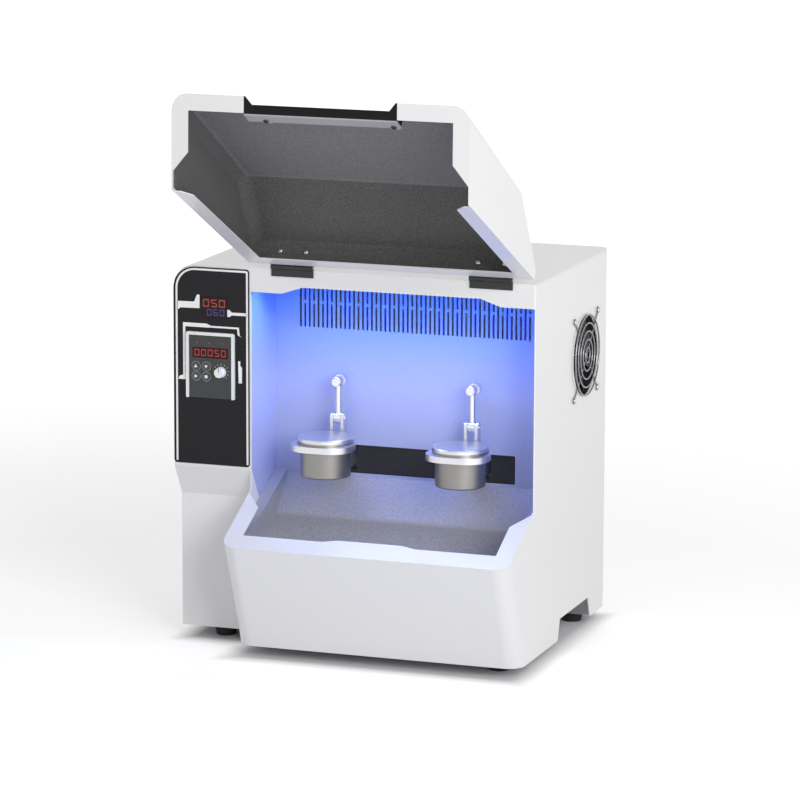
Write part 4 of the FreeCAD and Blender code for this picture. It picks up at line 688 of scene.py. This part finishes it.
class MILL_OT_chamber(bpy.types.Operator):
    """Paint the chamber, its tray and its seal, and light the lamp bar"""

    bl_idname = "mill.chamber"
    bl_label = "Chamber"

    def execute(self, context):
        paints, lamp = context.scene.mill_paints, context.scene.mill_lamp
        # The walls get painted lamp light up at the lamp.
        walls = satin_paint("chamber_paint", tuple(paints.chamber), 600.0, 0.07, tuple(paints.chamber_painted_lamp_light))
        dress(walls, "chamber_liner", "back_wall")
        dress(hammered_paint(tuple(paints.tray)), "drip_tray")
        dress(moulded("seal_rubber", (0.012, 0.012, 0.013), 0.65, 500.0), "slot_seal")
        dress(metal("lamp_channel", (0.72, 0.73, 0.75), 0.35, (1.0, 20.0, 20.0)), "light_bar")
        dress(lit("lamp_diffuser", (0.20, 0.36, 1.0), 1.2, (0.8, 0.85, 0.9)), "light_diffuser")
        low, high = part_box("light_bar")
        middle = (low + high) / 2
        length = high.x - low.x - 2 * LAMP_MARGIN
        start = (low.x + LAMP_MARGIN, middle.y, high.z - CHIP_DROP)
        step = (length / (lamp.chips - 1), 0.0, 0.0)
        lamp_chips("lamp_chips", start, step, lamp.chips, CHIP_SIZE, lit("lamp_chip", (0.5, 0.6, 1.0), 1.5),
                   "cabinet")
        for name, power, colour, lean in (
                ("lamp_bar_light", lamp.power, tuple(lamp.colour), LAMP_LEAN),
                ("lamp_spill", lamp.spill, SPILL_COLOUR, SPILL_LEAN)):
            light = bpy.data.lights.new(name, "AREA")
            light.shape = "RECTANGLE"
            light.size, light.size_y = length, LAMP_WIDTH
            light.energy, light.color = power, colour
            source = bpy.data.objects.new(name, light)
            source.location = (middle.x, middle.y, low.z - LAMP_DROP)
            source.rotation_euler = (math.radians(lean), 0.0, 0.0)
            context.scene.collection.objects.link(source)
        return {"FINISHED"}


class MILL_OT_controls(bpy.types.Operator):
    """Control panel: film, print, displays, keys and speed dial"""

    bl_idname = "mill.controls"
    bl_label = "Controls"

    def execute(self, context):
        paints, panel = context.scene.mill_paints, context.scene.mill_panel
        thin = panel.print_depth
        dress(film("panel_film", tuple(paints.panel), 0.22), "control_panel")
        dress(film("display_lens", (0.012, 0.004, 0.004), 0.12), "timer_display")
        dress(moulded("drive_plastic", (0.031, 0.035, 0.037), 0.5), "speed_drive")
        white = moulded("print_white", (0.90, 0.90, 0.90), 0.4, 300.0)
        dress(moulded("bezel_plastic", (0.86, 0.86, 0.86), 0.35), "drive_bezel")
        dress(moulded("dial_plastic", (0.88, 0.88, 0.88), 0.4), "speed_dial")
        dress(moulded("key_rubber", (0.055, 0.062, 0.065), 0.55), *["key_button_%d" % i for i in SIGNS])
        self.outline(panel.line, thin, white)
        printed("panel_accents", ACCENTS, PANEL_LOW.y, thin, white, "cabinet")
        self.displays(panel, thin)
        self.keypad(white, thin)
        self.dial(white)
        return {"FINISHED"}

    @staticmethod
    def outline(w, thin, white):
        """Printed frame round the panel, w wide and open at its foot."""
        left, right, foot, head = FRAME_MARGINS
        x0, x1 = PANEL_LOW.x / MM + left, PANEL_HIGH.x / MM - right
        z0, z1 = PANEL_LOW.z / MM + foot, PANEL_HIGH.z / MM - head
        small, large = FRAME_RADII
        # Both loops go without the points of their first corner, the lower left.
        outer = rounded(x0, x1, z0, z1, (0.0, 0.0, small, large))[ARC_STEPS + 1:]
        inner = rounded(x0 + w, x1 - w, z0, z1 - w, (0.0, 0.0, small / 2, large - w))[ARC_STEPS + 1:]
        path = [(x0, z0), *outer[::-1], *inner, (x0 + w, z0)]
        printed("panel_outline", [path], PANEL_LOW.y, thin, white, "cabinet")

    @staticmethod
    def displays(panel, thin):
        """Lit figures, the window of the speed's, and the state lamps over it."""
        strength = panel.figure_strength
        run = lit("run_figures", tuple(panel.run_figures), strength)
        preset = lit("set_figures", tuple(panel.set_figures), strength)
        window = film("speed_window", (0.030, 0.004, 0.004), 0.15)
        field = rounded(*SPEED_WINDOW, (0.8,) * 4, 3)
        lamps = [ring(x, z, 1.1, 20) for x, z in STATE_LAMPS]
        for name, outlines, front, thickness, material in (
                ("time_figures", figure(*TIME_FIELD), LENS_Y, thin, run),
                ("set_figures", figure(*SET_FIELD), LENS_Y, thin, preset),
                ("speed_window", [field], KEYPAD_Y, thin * 2, window),
                ("speed_figures", figure(*SPEED_FIELD), KEYPAD_Y - thin * 2 * MM, thin, run),
                ("state_lamps", lamps, KEYPAD_Y, 0.5, lit("state_lamps", (0.6, 0.03, 0.03), 0.6))):
            printed(name, outlines, front, thickness, material, "cabinet")

    @staticmethod
    def keypad(white, thin):
        """A printed ring round each key, and a sign on it."""
        grey = moulded("print_grey", (0.42, 0.43, 0.44), 0.5, 300.0)
        for i, sign in SIGNS.items():
            low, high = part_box("key_button_%d" % i)
            x, z = (low.x + high.x) / 2 / MM, (low.z + high.z) / 2 / MM
            halo = [tuple(ring(x, z, radius) for radius in HALO_RADII)]
            printed("key_halo_%d" % i, [], KEYPAD_Y, thin, grey, "cabinet", halo)
            printed("key_sign_%d" % i, [moved(sign, x, z)], low.y, thin, white, "key_%d" % i)

    @staticmethod
    def dial(white):
        """Marks round the speed dial, and its pointer."""
        low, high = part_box("speed_dial")
        x, z = (low.x + high.x) / 2, (low.z + high.z) / 2
        centre = (x, KEYPAD_Y - DIAL_MARK_SIZE[2] / 2, z)
        dial_marks("dial_marks", centre, DIAL_MARK_R, DIAL_MARKS, DIAL_MARK_SIZE, white,
                   "cabinet")
        dark = moulded("pointer_dark", (0.03, 0.03, 0.03), 0.5)
        pointer = moved(POINTER, x / MM, z / MM)
        front = low.y + POINTER_SUNK * MM
        printed("dial_pointer", [pointer], front, POINTER_DEPTH, dark, "dial")


class MILL_OT_lid(bpy.types.Operator):
    """Lid: paint, grained lining, finger pull, bracket, hinges and screws"""

    bl_idname = "mill.lid"
    bl_label = "Lid"

    def execute(self, context):
        paints = context.scene.mill_paints
        dress(bpy.data.materials["gloss_paint"], "lid_shell")
        # The lining is painted paler on its front face, as painted light.
        dress(grained_lining(tuple(paints.lining), *self.opened(*LINING_PAINTED_LIGHT_FACE)), "lid_liner")
        dress(moulded("black_plastic", (0.006, 0.006, 0.007), 0.5, shine=0.15), "lid_pull")
        dress(moulded("hinge_black", (0.010, 0.010, 0.011), 0.42), "hinge_body_leaves", "hinge_lid_leaves")
        dress(satin_paint("bracket_paint", (0.42, 0.42, 0.42), 900.0, 0.08), "pull_bracket")
        steel = metal("screw_steel", (0.62, 0.62, 0.63), 0.28, (3.0, 3.0, 3.0), 200.0)
        dress(steel, "hinge_pins")
        places = [self.opened(point, (0, 0, -1)) for point in HINGE_SCREWS]
        facing = self.opened((0, 0, 0), BRACKET_FACING)[1]
        fastened = [(middle, facing) for middle in self.pull_screws()]
        made = screws("lid_screws", places, SCREW_R, steel, "lid")
        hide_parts("lid_screws")
        # The bracket's screw heads are dark.
        dark_screw_steel = metal("screw_blued", (0.05, 0.05, 0.055), 0.4, (3.0, 3.0, 3.0), 200.0)
        screws("bracket_screws", fastened, SCREW_R, dark_screw_steel, "lid")
        return {"FINISHED"}

    @staticmethod
    def opened(point, way):
        """A point and a direction of the closed lid, turned with it to its rest pose."""
        turn = Matrix.Rotation(-LID_OPEN, 4, "X")
        at = place(*point) - HINGE_LINE
        return turn @ at + HINGE_LINE, (turn @ Vector(way)).normalized()

    @staticmethod
    def pull_screws():
        """Middles of the two bracket screws among the CAD screws."""
        low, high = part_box("pull_bracket")
        corners = [v.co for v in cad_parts["lid_screws"].data.vertices if v.co.z > low.z - 0.01]
        for side in (-1, 1):
            near = [c for c in corners if (c.x - (low.x + high.x) / 2) * side > 0]
            yield Vector([(min(c[k] for c in near) + max(c[k] for c in near)) / 2 for k in range(3)])


class MILL_OT_stations(bpy.types.Operator):
    """Milling stations: holders, jars, covers, balls and clamps"""

    bl_idname = "mill.stations"
    bl_label = "Stations"

    def execute(self, context):
        holder = metal("holder_metal", (0.74, 0.74, 0.76), 0.34, (1.0, 14.0, 14.0))
        jar = metal("jar_metal", (0.31, 0.30, 0.285), 0.42, (1.0, 1.0, 40.0), 22.0)
        cover = metal("cover_metal", (0.72, 0.71, 0.69), 0.34, (1.0, 14.0, 1.0), 60.0, 0.04)
        bright = metal("clamp_metal", (0.80, 0.80, 0.82), 0.2, (14.0, 14.0, 1.0))
        ball = metal("ball_metal", (0.78, 0.78, 0.80), 0.12, (1.0, 1.0, 1.0), 90.0)
        for side in ("left", "right"):
            dress(holder, "holder_" + side)
            dress(jar, "jar_" + side)
            dress(cover, "jar_cover_" + side)
            dress(ball, "grinding_balls_" + side)
            dress(bright, "clamp_lever_" + side, "clamp_pad_" + side, "thumb_nut_" + side)
        dress(bright, "clamp_pins")
        return {"FINISHED"}


class MILL_OT_drive(bpy.types.Operator):
    """Vibrating frame, springs and motor inside the casing"""

    bl_idname = "mill.drive"
    bl_label = "Drive"

    def execute(self, context):
        plate = metal("frame_steel", (0.40, 0.41, 0.43), 0.45, (1.0, 10.0, 1.0))
        dress(plate, "vibrating_frame", "motor_covers")
        dress(metal("spring_steel", (0.22, 0.22, 0.23), 0.35, (1.0, 1.0, 1.0), 400.0), "springs")
        dress(bpy.data.materials["casting"], "motor_housing", "eccentric_weights")
        ground = metal("shaft_steel", (0.60, 0.60, 0.62), 0.25, (30.0, 1.0, 1.0))
        dress(ground, "motor_shaft", "motor_bearings")
        return {"FINISHED"}


class MILL_OT_fan(bpy.types.Operator):
    """Fan in the right side, its guard, and the rear's inlet, switch and screws"""

    bl_idname = "mill.fan"
    bl_label = "Fan and rear"

    def execute(self, context):
        dress(bpy.data.materials["black_plastic"], "fan_housing", "fan_rotor", "power_inlet")
        dress(metal("guard_chrome", (0.30, 0.30, 0.31), 0.25, (3.0, 3.0, 3.0), 120.0), "fan_guard")
        dress(film("switch_red", (0.55, 0.02, 0.02), 0.25), "power_rocker")
        low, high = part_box("fan_guard")
        fan = (low + high) / 2
        places = []
        for y in (-FAN_SCREW, FAN_SCREW):
            for z in (-FAN_SCREW, FAN_SCREW):
                places.append((Vector((high.x - EYE_DEPTH, fan.y + y, fan.z + z)), (1, 0, 0)))
        low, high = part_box("rear_cover")
        for x in (low.x + COVER_EDGE, high.x - COVER_EDGE):
            for z in (low.z + COVER_FOOT, (low.z + high.z) / 2, high.z - COVER_EDGE):
                places.append((Vector((x, high.y, z)), (0, 1, 0)))
        steel = bpy.data.materials["screw_steel"]
        made = screws("panel_screws", places, SCREW_R, steel, "cabinet")
        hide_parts("panel_screws")
        return {"FINISHED"}


class MILL_OT_stage(bpy.types.Operator):
    """Floor, world, lamps and camera"""

    bl_idname = "mill.stage"
    bl_label = "Studio"

    def execute(self, context):
        studio = context.scene.mill_studio
        self.floor()
        self.world(context, studio)
        self.softbox("key", studio.key, at=(2.3, -2.35, 1.5), size=1.6)
        self.softbox("fill", studio.fill, at=(-1.6, -2.8, 1.2), size=1.8)
        self.camera(context, studio)
        context.scene.view_settings.view_transform = "Standard"
        return {"FINISHED"}

    @staticmethod
    def seen(net):
        """1 where the ray comes from the camera, or from metal or glass."""
        path = net.node("ShaderNodeLightPath").outputs
        rays = [Value(net, path[name]) for name in ("Is Camera Ray", "Is Glossy Ray", "Is Transmission Ray")]
        return (rays[0] + rays[1] + rays[2]).limited()

    @staticmethod
    def outside(x, y, low, high):
        """How far a point of the floor lies outside a box's plan, below 0 within it."""
        gaps = []
        for at, a, b in ((x, low.x, high.x), (y, low.y, high.y)):
            gaps.append(at.join("ABSOLUTE", at - (a + b) / 2, 0.0) - (b - a) / 2)
        return x.join("MAXIMUM", *gaps)

    def floor(self):
        """Matt floor that glows evenly where it is seen, and less under the mill and round its foot, as a
        painted contact shadow.
        """
        form = bmesh.new()
        bmesh.ops.create_grid(form, x_segments=8, y_segments=8, size=20.0)
        mesh = bpy.data.meshes.new("floor")
        form.to_mesh(mesh)
        form.free()
        floor = bpy.data.objects.new("floor", mesh)
        floor.location.z = CAD_BOX[0].z
        bpy.context.scene.collection.objects.link(floor)
        material = bpy.data.materials.new("floor")
        material.use_nodes = True
        net = Net(material.node_tree)
        net.tree.nodes.clear()
        where = net.node("ShaderNodeTexCoord").outputs["Object"]
        length = net.node("ShaderNodeVectorMath", {"operation": "LENGTH"}, {0: where})
        away = Value(net, length.outputs["Value"])
        ends = net.node("ShaderNodeSeparateXYZ", {}, {"Vector": where}).outputs
        x, y = Value(net, ends[0]), Value(net, ends[1])
        body, apron = (self.outside(x, y, *plan) for plan in SHADOW_PLANS)
        clear = (x.join("MINIMUM", body, apron) * SHADOW_FADE + SHADOW_CORE).limited()
        glow = self.seen(net) * clear * (((away - FAR_FROM) * FAR_FADE).limited() * FAR_GLOW + FLOOR_GLOW)
        lifted = net.node("ShaderNodeEmission", {}, {"Color": (1, 1, 1, 1), "Strength": glow})
        matt = net.node("ShaderNodeBsdfDiffuse", {}, {"Color": (0.86, 0.86, 0.87, 1)})
        both = net.node("ShaderNodeAddShader", {}, {0: lifted.outputs[0], 1: matt.outputs[0]})
        net.node("ShaderNodeOutputMaterial", {}, {0: both.outputs[0]})
        mesh.materials.append(material)

    def world(self, context, studio):
        """White where it is seen, and of the set strength as light."""
        world = bpy.data.worlds.new("studio")
        world.use_nodes = True
        context.scene.world = world
        net = Net(world.node_tree)
        net.tree.nodes.clear()
        strength = self.seen(net) * (1.0 - studio.world) + studio.world
        light = net.node("ShaderNodeBackground", {}, {"Color": (1, 1, 1, 1), "Strength": strength})
        net.node("ShaderNodeOutputWorld", {}, {0: light.outputs[0]})

    @staticmethod
    def softbox(name, power, at, size):
        light = bpy.data.lights.new(name, "AREA")
        light.size = size
        light.energy = power
        lamp = bpy.data.objects.new(name, light)
        lamp.location = at
        lamp.rotation_euler = (SOFTBOX_AIM - Vector(at)).to_track_quat("-Z", "Y").to_euler()
        bpy.context.scene.collection.objects.link(lamp)

    @staticmethod
    def camera(context, studio):
        data = bpy.data.cameras.new("camera")
        data.sensor_width = 36.0
        data.lens = studio.lens
        data.clip_end = 60.0
        camera = bpy.data.objects.new("camera", data)
        eye, aim = Vector(studio.eye), Vector(studio.aim)
        ahead = (aim - eye).normalized()
        level = ahead.cross(Vector((0, 0, 1))).normalized()
        upright = level.cross(ahead)
        right = level * math.cos(studio.roll) + upright * math.sin(studio.roll)
        up = right.cross(ahead)
        turn = Matrix((right, up, -ahead)).transposed().to_4x4()
        camera.matrix_world = Matrix.Translation(eye) @ turn
        context.scene.collection.objects.link(camera)
        context.scene.camera = camera


OPERATORS = (MILL_OT_casing, MILL_OT_chamber, MILL_OT_controls, MILL_OT_lid, MILL_OT_stations, MILL_OT_drive,
             MILL_OT_fan, MILL_OT_stage)
SETTINGS = {
    "mill_paints": MillPaints, "mill_panel": MillPanel, "mill_lamp": MillLamp, "mill_studio": MillStudio}


class MILL_PT_panel(bpy.types.Panel):
    """The mill's pieces and their settings"""

    bl_label = "Ball Mill"
    bl_idname = "MILL_PT_panel"
    bl_space_type = "VIEW_3D"
    bl_region_type = "UI"
    bl_category = "Ball Mill"

    def draw(self, context):
        for operator in OPERATORS:
            self.layout.operator(operator.bl_idname)
        for name, group in SETTINGS.items():
            section = self.layout.box()
            for setting in group.__annotations__:
                section.prop(getattr(context.scene, name), setting)


def register():
    for group in SETTINGS.values():
        bpy.utils.register_class(group)
    for name, group in SETTINGS.items():
        setattr(bpy.types.Scene, name, PointerProperty(type=group))
    for cls in (*OPERATORS, MILL_PT_panel):
        bpy.utils.register_class(cls)


def unregister():
    for cls in (MILL_PT_panel, *reversed(OPERATORS)):
        bpy.utils.unregister_class(cls)
    for name, group in SETTINGS.items():
        delattr(bpy.types.Scene, name)
        bpy.utils.unregister_class(group)


def main():
    register()
    for operator in OPERATORS:
        group, name = operator.bl_idname.split(".")
        getattr(getattr(bpy.ops, group), name)()


if __name__ == "__main__":
    main()
